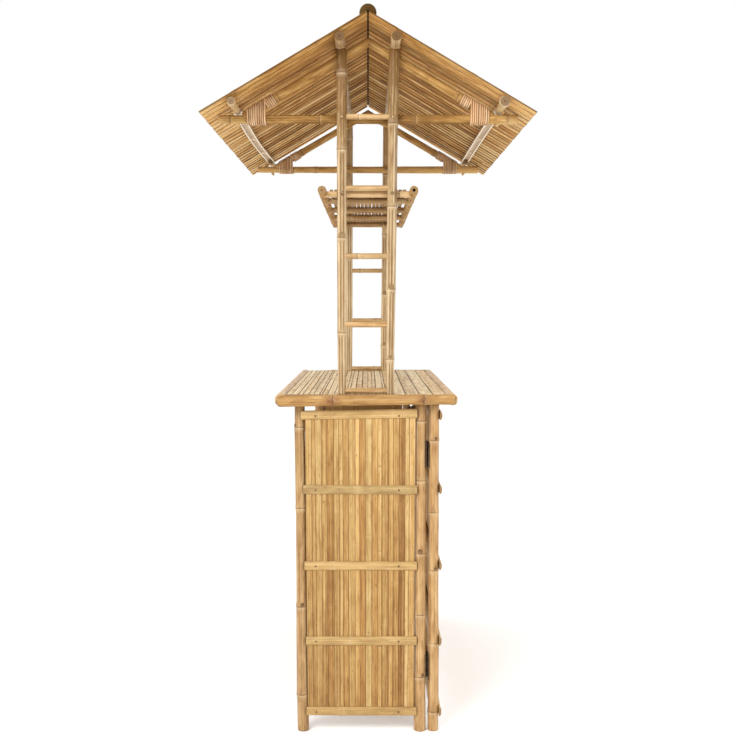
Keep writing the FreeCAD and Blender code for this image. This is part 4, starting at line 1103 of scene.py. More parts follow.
class Piece:
    """A finished piece: sticks in one mesh, which replaces nodes of the frame and rides on a body."""

    def __init__(self, name: str, seed: int) -> None:
        """Start an empty piece.

        Args:
            name: Name of the piece.
            seed: Seed of its unevenness.
        """
        self.name = name
        self.chance = random.Random(seed)
        self.mesh = marked_mesh()

    def add(self, stick: Stick, place: Matrix) -> None:
        """Lay a stick in the piece."""
        join(self.mesh, stick, place)

    def culm(
        self, start: Vector, end: Vector, form: CulmForm, nodes: Sequence[float] | float = (),
        face: Vector = Z, tone: float | None = None, knots: Sequence[Knot] = (), fade: float = 0.0,
    ) -> None:
        """Lay a whole culm between two points.

        Args:
            start: Middle of its first end.
            end: Middle of its other end.
            form: Its radii, ends and unevenness.
            nodes: Heights of its nodes, or their usual spacing.
            face: Where its grooves start.
            tone: Its place among the tones at its end, or any.
            knots: The scars of its branches.
            fade: How much paler its end is painted than its start, a painted shade ramp.
        """
        length = (end - start).length
        heights = node_heights(length, nodes, self.chance) if isinstance(nodes, float) else nodes
        shade = self.chance.uniform(0.35, 0.75) if tone is None else tone
        culm = Culm(length, form, heights, shade, self.chance, knots)
        culm.fade = fade
        self.knotted(culm, laid(start, end, face))

    def knotted(self, culm: Culm, place: Matrix) -> None:
        """Lay a culm with the stubs of its cut branches.

        Args:
            culm: The culm.
            place: Where its foot goes and how it lies.
        """
        for knot in culm.knots:
            spot = place @ culm.swell(knot)
            if not knot.is_stub:
                continue
            angle = math.pi / 2 + knot.turn
            out = place.to_3x3() @ Vector((math.cos(angle), math.sin(angle), 0))
            form = CulmForm.rod(knot.radius * 1.2, knot.radius, 14, EndForm.PITH)
            stub = Culm(0.0055, form, (), 0.3, self.chance)
            for vert in stub.mesh.verts:
                if math.hypot(vert.co.x, vert.co.y) > knot.radius * 0.96:
                    vert[stub.marks["line"]] = 0.6
            self.add(stub, laid(spot - out * 0.004, spot + out, Z if abs(out.z) < 0.9 else X))
        self.add(culm, place)

    def rods(
        self, node: str, axis: int, form: CulmForm, nodes: Sequence[float] | float = (), face: Vector = Z,
        tones: Iterable[float | None] = (None,),
    ) -> "Piece":
        """Lay a whole culm along each solid of a node.

        Args:
            node: Name of the node.
            axis: Axis that the culms follow.
            form: Their radii, ends and unevenness.
            nodes: Heights of their nodes, or their usual spacing.
            face: Where their grooves start.
            tones: Their places among the tones, over and over.

        Returns:
            The piece itself.
        """
        for box, tone in zip(solids(node), cycle(tones)):
            self.culm(*ends_along(box, axis), form, nodes, face, tone)
        return self

    def finish(self, finish: Finish, body: str, *replaced: str) -> None:
        """Turn the sticks into the piece's object.

        Args:
            finish: Its finish.
            body: Body of the frame that carries it.
            replaced: Nodes of the frame that it stands for.
        """
        data = bpy.data.meshes.new(self.name)
        self.mesh.to_mesh(data)
        self.mesh.free()
        data.materials.append(material_of(finish))
        item = bpy.data.objects.new(self.name, data)
        bpy.context.collection.objects.link(item)
        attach(item, body)
        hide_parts(*replaced)
        LOG.info("%s: %d faces on %s", self.name, len(data.polygons), body)


# Folding screen
@dataclass
class Screen(ABC):
    """What the three panels of the folding screen have in common."""

    name: str
    body: str
    seed: int
    axis: int
    slat_count: int
    nail_word: str = "nails"
    spread: tuple[float, float] = (0.0, 0.0)
    slat_gap: float = -0.0003
    slat_thickness: float = 0.005
    batten_depth: float = 0.0072
    rail_form: CulmForm = CulmForm(0.0119, 0.0119, sides=16, ridge=0.0006)
    batten_form: CulmForm = CulmForm(0.014, 0.014, sides=28, ridge=0.0009, kink=0.0003)
    shank_form: CulmForm = CulmForm.rod(0.0011, 0.0011, 10)
    head_form: CulmForm = CulmForm.rod(0.0025, 0.0021, 14)

    @property
    @abstractmethod
    def outward(self) -> Vector:
        """Return which way the panel's battens look."""

    @abstractmethod
    def posts(self) -> None:
        """Stand the panel's posts."""

    @abstractmethod
    def fields(self) -> list[Box]:
        """Return the lowest and highest corner of each field of slats."""

    @abstractmethod
    def battens(self, piece: Piece) -> None:
        """Lay the panel's battens in a piece."""

    def build(self) -> None:
        """Build the panel's pieces."""
        self.posts()
        piece = Piece(f"{self.name}_rail_culms", self.seed + 20)
        node = f"{self.name}_rails"
        piece.rods(node, self.axis, self.rail_form, 0.21, Z if self.axis else Y)
        piece.finish(Finish.POLE, self.body, node)
        piece = Piece(f"{self.name}_split_slats", self.seed + 40)
        for low, high in self.fields():
            self.slat_field(piece, low, high)
        piece.finish(Finish.SLAT, self.body, f"{self.name}_slats")
        piece = Piece(f"{self.name}_half_battens", self.seed + 50)
        self.battens(piece)
        piece.finish(Finish.BATTEN, self.body, f"{self.name}_battens")
        self.nails()

    def slat_field(self, piece: Piece, low: Vector, high: Vector) -> None:
        """Stand a field of uneven slats.

        Args:
            piece: Piece that takes them.
            low: Lowest corner of the field.
            high: Highest corner of the field.
        """
        axis = self.axis
        edges = uneven_edges(low[axis], high[axis] + self.slat_gap, self.slat_count, 0.2, piece.chance)
        flare = (self.spread[1] - self.spread[0]) / (high[axis] - low[axis])
        back = low.copy()
        for index in (0, 1):
            if self.outward[index] < 0:
                back[index] = high[index]
        for left, right in pairwise(edges):
            foot = back.copy()
            foot[axis] = (left + right - self.slat_gap) / 2
            top = high.z - low.z - piece.chance.uniform(0, 0.003)
            nodes = node_heights(top, 0.29, piece.chance)
            tone = piece.chance.gauss(0.70, 0.12)
            if piece.chance.random() < 0.3:
                tone = piece.chance.uniform(0.1, 0.9)
            # Painted shade: dark long edges on each slat stand for the shade in the gaps between slats.
            slat = Slat(
                top, right - left - self.slat_gap, self.slat_thickness, nodes, tone, piece.chance,
                bend=0.0001, flare=flare, painted_seam_shade=0.9, painted_seam_width=0.05,
            )
            # Painted shade: each slat is painted darker towards its foot, for the shade near the floor.
            slat.fade = 0.2
            head = foot + Z * top
            head[axis] += self.spread[0] + flare * (foot[axis] - low[axis])
            piece.add(slat, laid(foot, head, self.outward))

    def batten(self, piece: Piece, box: Box, tilt: float, tone: float) -> None:
        """Lay one half-round batten over the slats.

        Args:
            piece: Piece that takes it.
            box: Box of the batten's solid.
            tilt: How far its end is higher than its start.
            tone: Its place among the tones.
        """
        start, end = ends_along(box, self.axis)
        across = 1 - self.axis
        start[across] = end[across] = box[self.outward[across] < 0][across]
        start.z -= tilt / 2
        end.z += tilt / 2
        length = (end - start).length
        nodes = node_heights(length, 0.27, piece.chance)
        half = HalfCulm(length, self.batten_form, self.batten_depth, nodes, tone, piece.chance)
        half.boldness = 0.45
        piece.add(half, laid(start, end, self.outward))

    def nails(self) -> None:
        """Drive the nails: domed heads over round shanks."""
        node = f"{self.name}_{self.nail_word}"
        piece = Piece(f"{self.name}_nail_heads", self.seed + 30)
        across = 1 - self.axis
        out = self.outward
        for box in solids(node):
            tip, head = ends_along(box, across)[::1 if out[across] > 0 else -1]
            piece.culm(tip, head - out * 0.0006, self.shank_form)
            piece.culm(head - out * 0.0011, head - out * 0.0001, self.head_form)
        piece.finish(Finish.NAIL, self.body, node)


@dataclass
class Wing(Screen):
    """One wing of the folding screen, which turns on the front panel's end post."""

    name: str = "wing_left"
    body: str = "wing_left"
    seed: int = 100
    axis: int = 1
    slat_count: int = 20
    spread: tuple[float, float] = (-0.0045, 0.0065)
    side: int = -1
    front: Post = Post(
        CulmForm(
            0.0190, 0.0150, sides=28, ridge=0.0012, groove=0.0008, kink=0.0012,
            turns=(1.5, -1.4, 1.7, -1.6, 1.4, -1.5),
        ),
        (0.170, 0.365, 0.556, 0.781, 0.965),
        (Knot(0.178, 0.5, 0.0055), Knot(0.564, -0.1, 0.0075, 0.6), Knot(0.972, 1.2)),
    )
    back: Post = Post(
        CulmForm(
            0.0182, 0.0158, sides=28, ridge=0.0011, groove=0.0008, kink=0.0012,
            turns=(-1.6, 1.5, -1.7, 1.4, -1.5),
        ),
        (0.115, 0.390, 0.696, 0.945), (Knot(0.398, 0.2, 0.0060), Knot(0.952, -0.9, 0.0045)), 0.3,
    )
    lean: float = 0.004
    reaches: tuple[float, ...] = (-0.010, -0.009, -0.005, -0.002, 0.005)
    tilts: tuple[float, ...] = (0.001, -0.0005, 0.001, 0.002, -0.0055)
    lifts: tuple[float, ...] = (0.0, 0.0, 0.0, 0.0, 0.0043)
    batten_tones: tuple[float, ...] = (0.48, 0.55, 0.65, 0.38, 0.70)

    @property
    def outward(self) -> Vector:
        """Return which way the wing's battens look."""
        return X * self.side

    def posts(self) -> None:
        """Stand the wing's two posts, the back one leaning a little."""
        for where, post in (("front", self.front), ("back", self.back)):
            node = f"{self.name}_{where}_post"
            piece = Piece(f"{node}_culm", self.seed + len(where))
            start, end = ends_along(corners(node), 2)
            if post is self.back:
                start += Z * 0.0003 - Y * self.lean
                end.y += self.lean
            piece.culm(start, end, post.form, post.nodes, self.outward, post.tone, post.knots)
            piece.finish(Finish.POLE, self.body, node)

    def fields(self) -> list[Box]:
        """Return the wing's one field of slats."""
        return [corners(f"{self.name}_slats")]

    def battens(self, piece: Piece) -> None:
        """Lay the wing's five battens, each a little out of level.

        Args:
            piece: Piece that takes them.
        """
        boxes = solids(f"{self.name}_battens")
        plan = zip(boxes, self.reaches, self.lifts, self.tilts, self.batten_tones)
        for (low, high), reach, lift, tilt, tone in plan:
            self.batten(piece, (low + Z * lift, high + Y * reach + Z * lift), tilt, tone)


@dataclass
class FrontPanel(Screen):
    """The customers' side of the screen: three posts and two slatted bays."""

    name: str = "front"
    body: str = "front_panel"
    seed: int = 300
    axis: int = 0
    slat_count: int = 34
    nail_word: str = "batten_nails"
    form: CulmForm = CulmForm(
        0.0168, 0.0153, sides=28, ridge=0.0012, groove=0.0008, kink=0.0012,
        turns=(1.4, -1.3, 1.6, -1.5, 1.3, -1.4),
    )
    end_nodes: tuple[float, ...] = (0.060, 0.275, 0.503, 0.683, 0.905)
    dowel_form: CulmForm = CulmForm.rod(0.008, 0.0078, 18, EndForm.DOMED)

    @property
    def outward(self) -> Vector:
        """Return which way the panel's battens look."""
        return -Y

    def build(self) -> None:
        """Build the panel's pieces and the dowels that the counter drops over."""
        super().build()
        piece = Piece("locating_dowel_turnings", self.seed + 60)
        piece.rods("locating_dowels", 2, self.dowel_form).finish(Finish.DOWEL, self.body, "locating_dowels")

    def posts(self) -> None:
        """Stand the three posts."""
        for index, side in enumerate(("left", "center", "right")):
            node = f"front_post_{side}"
            piece = Piece(f"{node}_culm", self.seed + index)
            start, end = ends_along(corners(node), 2)
            start.y = end.y = corners(node)[0].y + self.form.foot
            nodes = self.end_nodes if index == 0 else node_heights(end.z, 0.22, piece.chance)
            knots = [Knot(height + 0.007, 0.35, 0.005, 0.6) for height in nodes[2::2]]
            look = -Y if side == "center" else X * (index - 1)
            piece.culm(start, end, self.form, nodes, look, 0.45, knots)
            piece.finish(Finish.POLE, self.body, node)

    def fields(self) -> list[Box]:
        """Return the bays between the posts.

        Returns:
            The lowest and highest corner of each.
        """
        low, high = corners("front_slats")
        inner = min(box[0].x for box in solids("front_slats") if box[0].x > 0)
        return [(low, Vector((-inner, high.y, high.z))), (Vector((inner, low.y, low.z)), high)]

    def battens(self, piece: Piece) -> None:
        """Lay the panel's battens.

        Args:
            piece: Piece that takes them.
        """
        for box in solids("front_battens"):
            self.batten(piece, box, piece.chance.uniform(-0.002, 0.002), piece.chance.uniform(0.3, 0.7))


# Counter
@dataclass
class Counter:
    """The counter top: mitred trim culms round two widths of slats, on cross bearers."""

    body: str = "top"
    seed: int = 500
    trim_radius: float = 0.01725
    side_trim_form: CulmForm = CulmForm(0.01725, 0.01725, sides=28, ridge=0.0005, groove=0.0008, kink=0.0002)
    end_trim_form: CulmForm = CulmForm(
        0.0150, 0.0174, sides=36, ridge=0.0013, groove=0.0006, turns=(2.2, 0.9, -2.4), kink=0.0010
    )
    end_trim_drops: tuple[float, float] = (0.0008, 0.0045)
    end_trim_scars: tuple[tuple[float, float], ...] = ((0.0, 0.0100), (-0.25, 0.0155))
    tip_rings: tuple[float, ...] = (0.006, 0.012, 0.02, 0.028)
    corner_radius: float = 0.0165
    slat_gap: float = 0.0018
    foot_dowel_form: CulmForm = CulmForm.rod(0.003, 0.003, 12)

    def build(self) -> None:
        """Build the counter's pieces."""
        for name, outward, nodes in (
            ("left", -X, (0.0975, 0.3725)), ("right", X, (0.14, 0.41)),
            ("front", -Y, (0.09, 0.37, 0.66, 0.93, 1.19)), ("back", Y, (0.12, 0.42, 0.70, 0.99, 1.22)),
        ):
            self.trim(f"counter_trim_{name}", outward, nodes)
        self.slats("counter_wide_slats", 4, 0.08)
        self.slats("counter_narrow_slats", 20, 0.3)
        self.bearers()

    def trim(self, node: str, outward: Vector, nodes: Sequence[float]) -> None:
        """Lay one trim culm, mitred and rounded where it meets its neighbours.

        Args:
            node: Node that the culm replaces.
            outward: Which way that side of the counter looks.
            nodes: Where the culm's nodes are, from its first end.
        """
        box = corners(node)
        axis = 1 if outward.x else 0
        start, end = ends_along(box, axis)
        piece = Piece(f"{node}_culm", self.seed + round(outward.x * 2 + outward.y * 3) + 5)
        form = self.side_trim_form
        scars = []
        if axis:
            form = self.end_trim_form
            for tip, radius, drop in zip((start, end), (form.foot, form.head), self.end_trim_drops):
                tip.x += outward.x * (self.trim_radius - radius)
                tip.z = box[1].z - radius - drop
            for spot, (turn, size) in zip(nodes, self.end_trim_scars):
                scars.append(Knot(spot + 0.004, turn, size, 1.5, is_stub=False))
        length = (end - start).length
        # Painted light: the front and back trims get a paler tone than the end trims, offsetting their shade.
        culm = Culm(length, form, nodes, 0.5 if axis else 1.0, piece.chance, scars)
        for height in (*self.tip_rings, *(length - ring for ring in reversed(self.tip_rings))):
            cut(culm.mesh, (0, 0, height), Z)
        for height, slope in ((0.0, -1), (length, 1)):
            cut(culm.mesh, (0, culm.radius(height), height), (0, -1, slope), drop=True)
            close(culm.mesh)
        self.round_tips(culm)
        piece.knotted(culm, laid(start, end, outward))
        piece.finish(Finish.TRIM, self.body, node)

    def round_tips(self, culm: Culm) -> None:
        """Draw the points beyond the counter's rounded corners in to them.

        Args:
            culm: The trim culm.
        """
        for vert in culm.mesh.verts:
            from_edge = culm.radius(vert.co.z) - vert.co.y
            from_end = min(vert.co.z, culm.length - vert.co.z)
            offset = Vector((self.corner_radius - from_edge, self.corner_radius - from_end))
            if offset.x > 0 and offset.y > 0 and offset.length > self.corner_radius:
                offset *= self.corner_radius / offset.length
                vert.co.y = culm.radius(vert.co.z) - (self.corner_radius - offset.x)
                inward = self.corner_radius - offset.y
                vert.co.z = inward if vert.co.z < culm.length / 2 else culm.length - inward

    def slats(self, node: str, count: int, spread: float) -> None:
        """Lay one field of the counter's slats.

        Args:
            node: Node that the slats replace.
            count: Number of slats.
            spread: How uneven their widths are.
        """
        piece = Piece(f"{node}_skin", self.seed + count)
        chance = piece.chance
        low, high = corners(node)
        length = high.x - low.x - 0.001
        for near, far in pairwise(uneven_edges(low.y, high.y + self.slat_gap, count, spread, chance)):
            gap = self.slat_gap * chance.uniform(0.3, 1.1)
            start = Vector((low.x + chance.uniform(0, 0.001), (near + far - self.slat_gap) / 2, low.z))
            nodes = node_heights(length, 0.24, chance)
            # Painted shade: dark long edges on each slat stand for the shade in the gaps between slats.
            slat = Slat(
                length, far - near - gap, high.z - low.z, nodes, chance.gauss(0.66, 0.09), chance,
                crown=0.0009, bend=0.0011, painted_seam_shade=0.6, painted_seam_width=0.05,
            )
            piece.add(slat, laid(start, start + X, Z))
        piece.finish(Finish.COUNTER, self.body, node)

    def bearers(self) -> None:
        """Lay the cross bearers and the ladder's foot dowels under the slats."""
        piece = Piece("counter_bearer_boards", self.seed + 60)
        for low, high in solids("counter_bearers"):
            start = Vector(((low.x + high.x) / 2, low.y, low.z))
            board = Slat(
                high.y - low.y, high.x - low.x, high.z - low.z, (), 0.5, piece.chance, crown=0.0, bend=0.0
            )
            piece.add(board, laid(start, start + Y, Z))
        piece.finish(Finish.BEARER, self.body, "counter_bearers")
        piece = Piece("ladder_foot_turnings", self.seed + 61)
        piece.rods("ladder_foot_dowels", 2, self.foot_dowel_form)
        piece.finish(Finish.DOWEL, self.body, "ladder_foot_dowels")


# Ladders and hanging rack
def ladder_form(*turns: float, bow: float = 0.0) -> CulmForm:
    """Return the form of a ladder's deeply grooved post."""
    return CulmForm(
        0.01275, 0.0160, sides=56, ridge=0.0010, groove=0.0024, turns=turns, bow=(bow, 0.0), kink=0.0012
    )


@dataclass
class Ladder:
    """One end ladder: two leaning posts, with the grooves and scars that look at the left end."""

    name: str = "ladder_left"
    seed: int = 700
    tone: float = -0.1
    front: Post = Post(
        ladder_form(0.25, 0.2, -0.3, 1.1, 2.4, bow=0.001), (0.105, 0.318, 0.567, 0.815),
        (Knot(0.113, 0.1, 0.0060, 0.4), Knot(0.326, 0.0, 0.0080, 0.35), Knot(0.823, -0.3, 0.0075, 0.4)),
        stands=(-0.0665, -0.079),
    )
    back: Post = Post(
        ladder_form(-0.3, 0.15, 0.1, 2.4, 2.4), (0.186, 0.473, 0.737, 0.965),
        (Knot(0.481, 0.0, 0.0085, 0.3),), stands=(0.079, 0.079),
    )

    def build(self) -> None:
        """Stand the ladder's posts."""
        for where, post in (("front", self.front), ("back", self.back)):
            node = f"{self.name}_{where}_post"
            piece = Piece(f"{node}_culm", self.seed + len(where))
            start, end = ends_along(corners(node), 2)
            start.y, end.y = post.stands
            # Painted shade: each post is painted darker towards its head, for the roof's shade on it.
            piece.culm(start, end, post.form, post.nodes, -X, self.tone, post.knots, -0.6)
            piece.finish(Finish.LADDER, "top", node)


@dataclass
class Rack:
    """The rungs of both ladders, the bottle rack between them, and their bolts."""

    seed: int = 800
    rung_form: CulmForm = CulmForm(0.0090, 0.0086, sides=16, ridge=0.0007, kink=0.0004)
    rail_radius: float = 0.0128
    bar_form: CulmForm = CulmForm(0.0100, 0.0094, sides=16, ridge=0.0007, kink=0.0004)
    # Painted light and shade: the near crossbar is painted pale, the crossbars under the slats dark for their
    # shade.
    bar_tones_with_painted_shade: tuple[float, ...] = (1.0, 0.35, 0.35, 0.35, 0.35)
    shank_form: CulmForm = CulmForm.rod(0.003, 0.003, 14)
    crown_form: CulmForm = CulmForm.rod(0.0055, 0.0055, 18, EndForm.DOMED)
    nut_form: CulmForm = CulmForm.rod(0.0055, 0.0055, 6)

    def build(self) -> None:
        """Build rungs, rails, crossbars, slats and bolts."""
        piece = Piece("ladder_rung_culms", self.seed)
        piece.rods("ladder_rungs", 1, self.rung_form, 0.19, tones=(0.55,))
        piece.finish(Finish.POLE, "top", "ladder_rungs")
        for step, side, near_end in ((1, "front", EndForm.HOLLOW), (2, "back", EndForm.PITH)):
            node = f"rack_rail_{side}"
            piece = Piece(f"{node}_culm", self.seed + step)
            form = CulmForm(self.rail_radius, self.rail_radius * 0.92, (near_end, EndForm.PITH))
            piece.culm(*ends_along(corners(node), 0), form, 0.26, tone=0.5)
            piece.finish(Finish.TRUSS, "top", node)
        piece = Piece("rack_crossbar_culms", self.seed + 3)
        piece.rods("rack_crossbars", 1, self.bar_form, 0.17, tones=self.bar_tones_with_painted_shade)
        piece.finish(Finish.POLE, "top", "rack_crossbars")
        self.slats()
        self.bolts()

    def slats(self) -> None:
        """Lay the rack's slats."""
        piece = Piece("rack_split_slats", self.seed + 4)
        chance = piece.chance
        for low, high in solids("rack_slats"):
            start = Vector((low.x, (low.y + high.y) / 2 + chance.uniform(-0.0005, 0.0005), low.z))
            length = high.x - low.x
            slat = Slat(
                length, (high.y - low.y) * chance.uniform(0.88, 1.05), high.z - low.z,
                node_heights(length, 0.22, chance), chance.uniform(0.4, 0.9), chance, bend=0.0005,
            )
            piece.add(slat, laid(start, start + X, Z))
        piece.finish(Finish.SLAT, "top", "rack_slats")

    def bolts(self) -> None:
        """Set the carriage bolts: domed head outside, shank, and nut inside."""
        piece = Piece("carriage_bolt_sets", self.seed + 5)
        for box in solids("carriage_bolts"):
            out = X if box[0].x > 0 else -X
            tip, head = ends_along(box, 0)[::1 if out.x > 0 else -1]
            piece.culm(tip, head - out * 0.001, self.shank_form)
            crown = Culm(0.02, self.crown_form, (), 0.5, piece.chance)
            bmesh.ops.scale(crown.mesh, vec=(1, 1, 0.15), verts=crown.mesh.verts)
            piece.add(crown, laid(head - out * 0.003, head, Z))
            piece.culm(tip + out * 0.0002, tip + out * 0.005, self.nut_form)
        piece.finish(Finish.BOLT, "top", "carriage_bolts")


# Roof
@dataclass
class Truss:
    """One roof truss: tie beam, two rafters and the rattan that lashes them."""

    name: str = "left"
    side: int = -1
    seed: int = 900
    tie_tone: float = 0.2
    rafter_tone: float = 0.62
    tie_form: CulmForm = CulmForm(0.0150, 0.0124, ridge=0.0012, kink=0.0008)
    tie_nodes: tuple[float, ...] = (0.03, 0.31, 0.60, 0.87)
    rafter_radius: float = 0.0138
    pitch: float = math.radians(30.5)
    apex_height: float = 2.10965
    rafter_foot_y: float = 0.377
    tie_height: float = 1.88007
    x: float = 0.564
    lashing_start: float = 0.309
    turns: int = 9
    collar_turns: int = 5
    strand_pitch: float = 0.0065
    strand_width: float = 0.0063
    strand_thickness: float = 0.0038
    winding_radius: float = 0.0161
    steps: int = 9

    def build(self) -> None:
        """Build the truss's pieces."""
        node = f"tie_beam_{self.name}"
        piece = Piece(f"{node}_culm", self.seed)
        start, end = ends_along(corners(node), 1)
        length = (end - start).length
        nodes = self.tie_nodes if self.side < 0 else node_heights(length, 0.27, piece.chance)
        culm = Culm(length, self.tie_form, nodes, self.tie_tone, piece.chance)
        # Painted light: both ends of the tie beam are painted paler, offsetting the roof's shade on them.
        culm.painted_end_light = 1.0
        piece.add(culm, laid(start, end, Z))
        piece.finish(Finish.TRUSS, "top", node)
        piece = Piece(f"rafter_culms_{self.name}", self.seed + 1)
        for sign in (-1, 1):
            self.rafter(piece, sign)
        piece.finish(Finish.TRUSS, "top", f"rafters_{self.name}")
        for sign, where in ((-1, "front"), (1, "back")):
            node = f"lashing_{self.name}_{where}"
            piece = Piece(f"{node}_strands", self.seed + 3 + sign)
            for path in (self.beam_winding(sign, piece.chance), self.collar(sign, piece.chance)):
                places = self.places_on(path)
                strand = Strand(places, self.strand_width, self.strand_thickness, piece.chance)
                piece.add(strand, Matrix.Identity(4))
            piece.finish(Finish.RATTAN, "top", node)

    def rafter(self, piece: Piece, sign: int) -> None:
        """Lay one rafter, cut plumb at the apex.

        Args:
            piece: Piece that takes it.
            sign: Which side of the ridge it is on.
        """
        x = self.x * self.side
        foot_z = self.apex_height - self.rafter_foot_y * math.tan(self.pitch)
        foot = Vector((x, sign * self.rafter_foot_y, foot_z))
        up = Vector((0, -sign * math.cos(self.pitch), math.sin(self.pitch)))
        length = self.rafter_foot_y / math.cos(self.pitch) + self.rafter_radius
        form = CulmForm(self.rafter_radius, self.rafter_radius * 0.94, ridge=0.0020, kink=0.0010)
        nodes = node_heights(length, 0.24, piece.chance, 0.12)
        culm = Culm(length, form, nodes, self.rafter_tone, piece.chance)
        place = laid(foot, foot + up, Z)
        back = place.inverted()
        cut(culm.mesh, back @ Vector((x, 0, 2)), back.to_3x3() @ Vector((0, -sign, 0)), drop=True)
        close(culm.mesh)
        piece.add(culm, place)

    def places_on(self, path: Sequence[Box]) -> list[Matrix]:
        """Return the strand's places along a path.

        Args:
            path: Points of the path, each with the way that the strand's flat side looks there.

        Returns:
            A place for each point, turned along the path.
        """
        places = []
        for index, (point, out) in enumerate(path):
            before = path[max(index - 1, 0)][0]
            after = path[min(index + 1, len(path) - 1)][0]
            places.append(laid(point, point + (after - before), out))
        return places

    def beam_winding(self, sign: int, chance: random.Random) -> list[Box]:
        """Wind the strand round tie beam and rafter.

        Args:
            sign: Which side of the ridge it is on.
            chance: Source of its unevenness.

        Returns:
            The points of its path, each with the way outwards.
        """
        radius = self.winding_radius
        rise = radius / math.cos(self.pitch) - radius
        path = []
        count = 2 * (self.steps + 1)
        for turn in range(self.turns):
            slip = chance.uniform(-0.0003, 0.0003)
            for index in range(count):
                y = self.lashing_start + self.strand_pitch * (turn + index / count) + slip
                is_high = index > self.steps
                angle = math.pi * (index - (self.steps + 1) * is_high) / self.steps
                out = Vector((math.cos(angle), 0, -math.sin(angle))) * (-1 if is_high else 1)
                height = self.apex_height + rise - math.tan(self.pitch) * y if is_high else self.tie_height
                path.append((Vector((self.x * self.side, sign * y, height)) + out * radius, out))
        return path

    def collar(self, sign: int, chance: random.Random) -> list[Box]:
        """Wind the strand round the rafter alone, just above the beam lashing.

        Args:
            sign: Which side of the ridge it is on.
            chance: Source of its unevenness.

        Returns:
            The points of its path, each with the way outwards.
        """
        radius = self.winding_radius
        up = Vector((0, -sign * math.cos(self.pitch), math.sin(self.pitch)))
        square = up.cross(X)
        y = self.lashing_start + 0.0040
        start = Vector((self.x * self.side, sign * y, self.apex_height - math.tan(self.pitch) * y))
        start += up * (radius * math.tan(self.pitch) * 0.15)
        path = []
        count = 18
        for index in range(count * self.collar_turns + 1):
            angle = math.tau * index / count
            out = X * math.cos(angle) + square * math.sin(angle)
            along = self.strand_pitch * index / count + chance.uniform(-0.0001, 0.0001)
            path.append((start + out * radius + up * along, out))
        return path


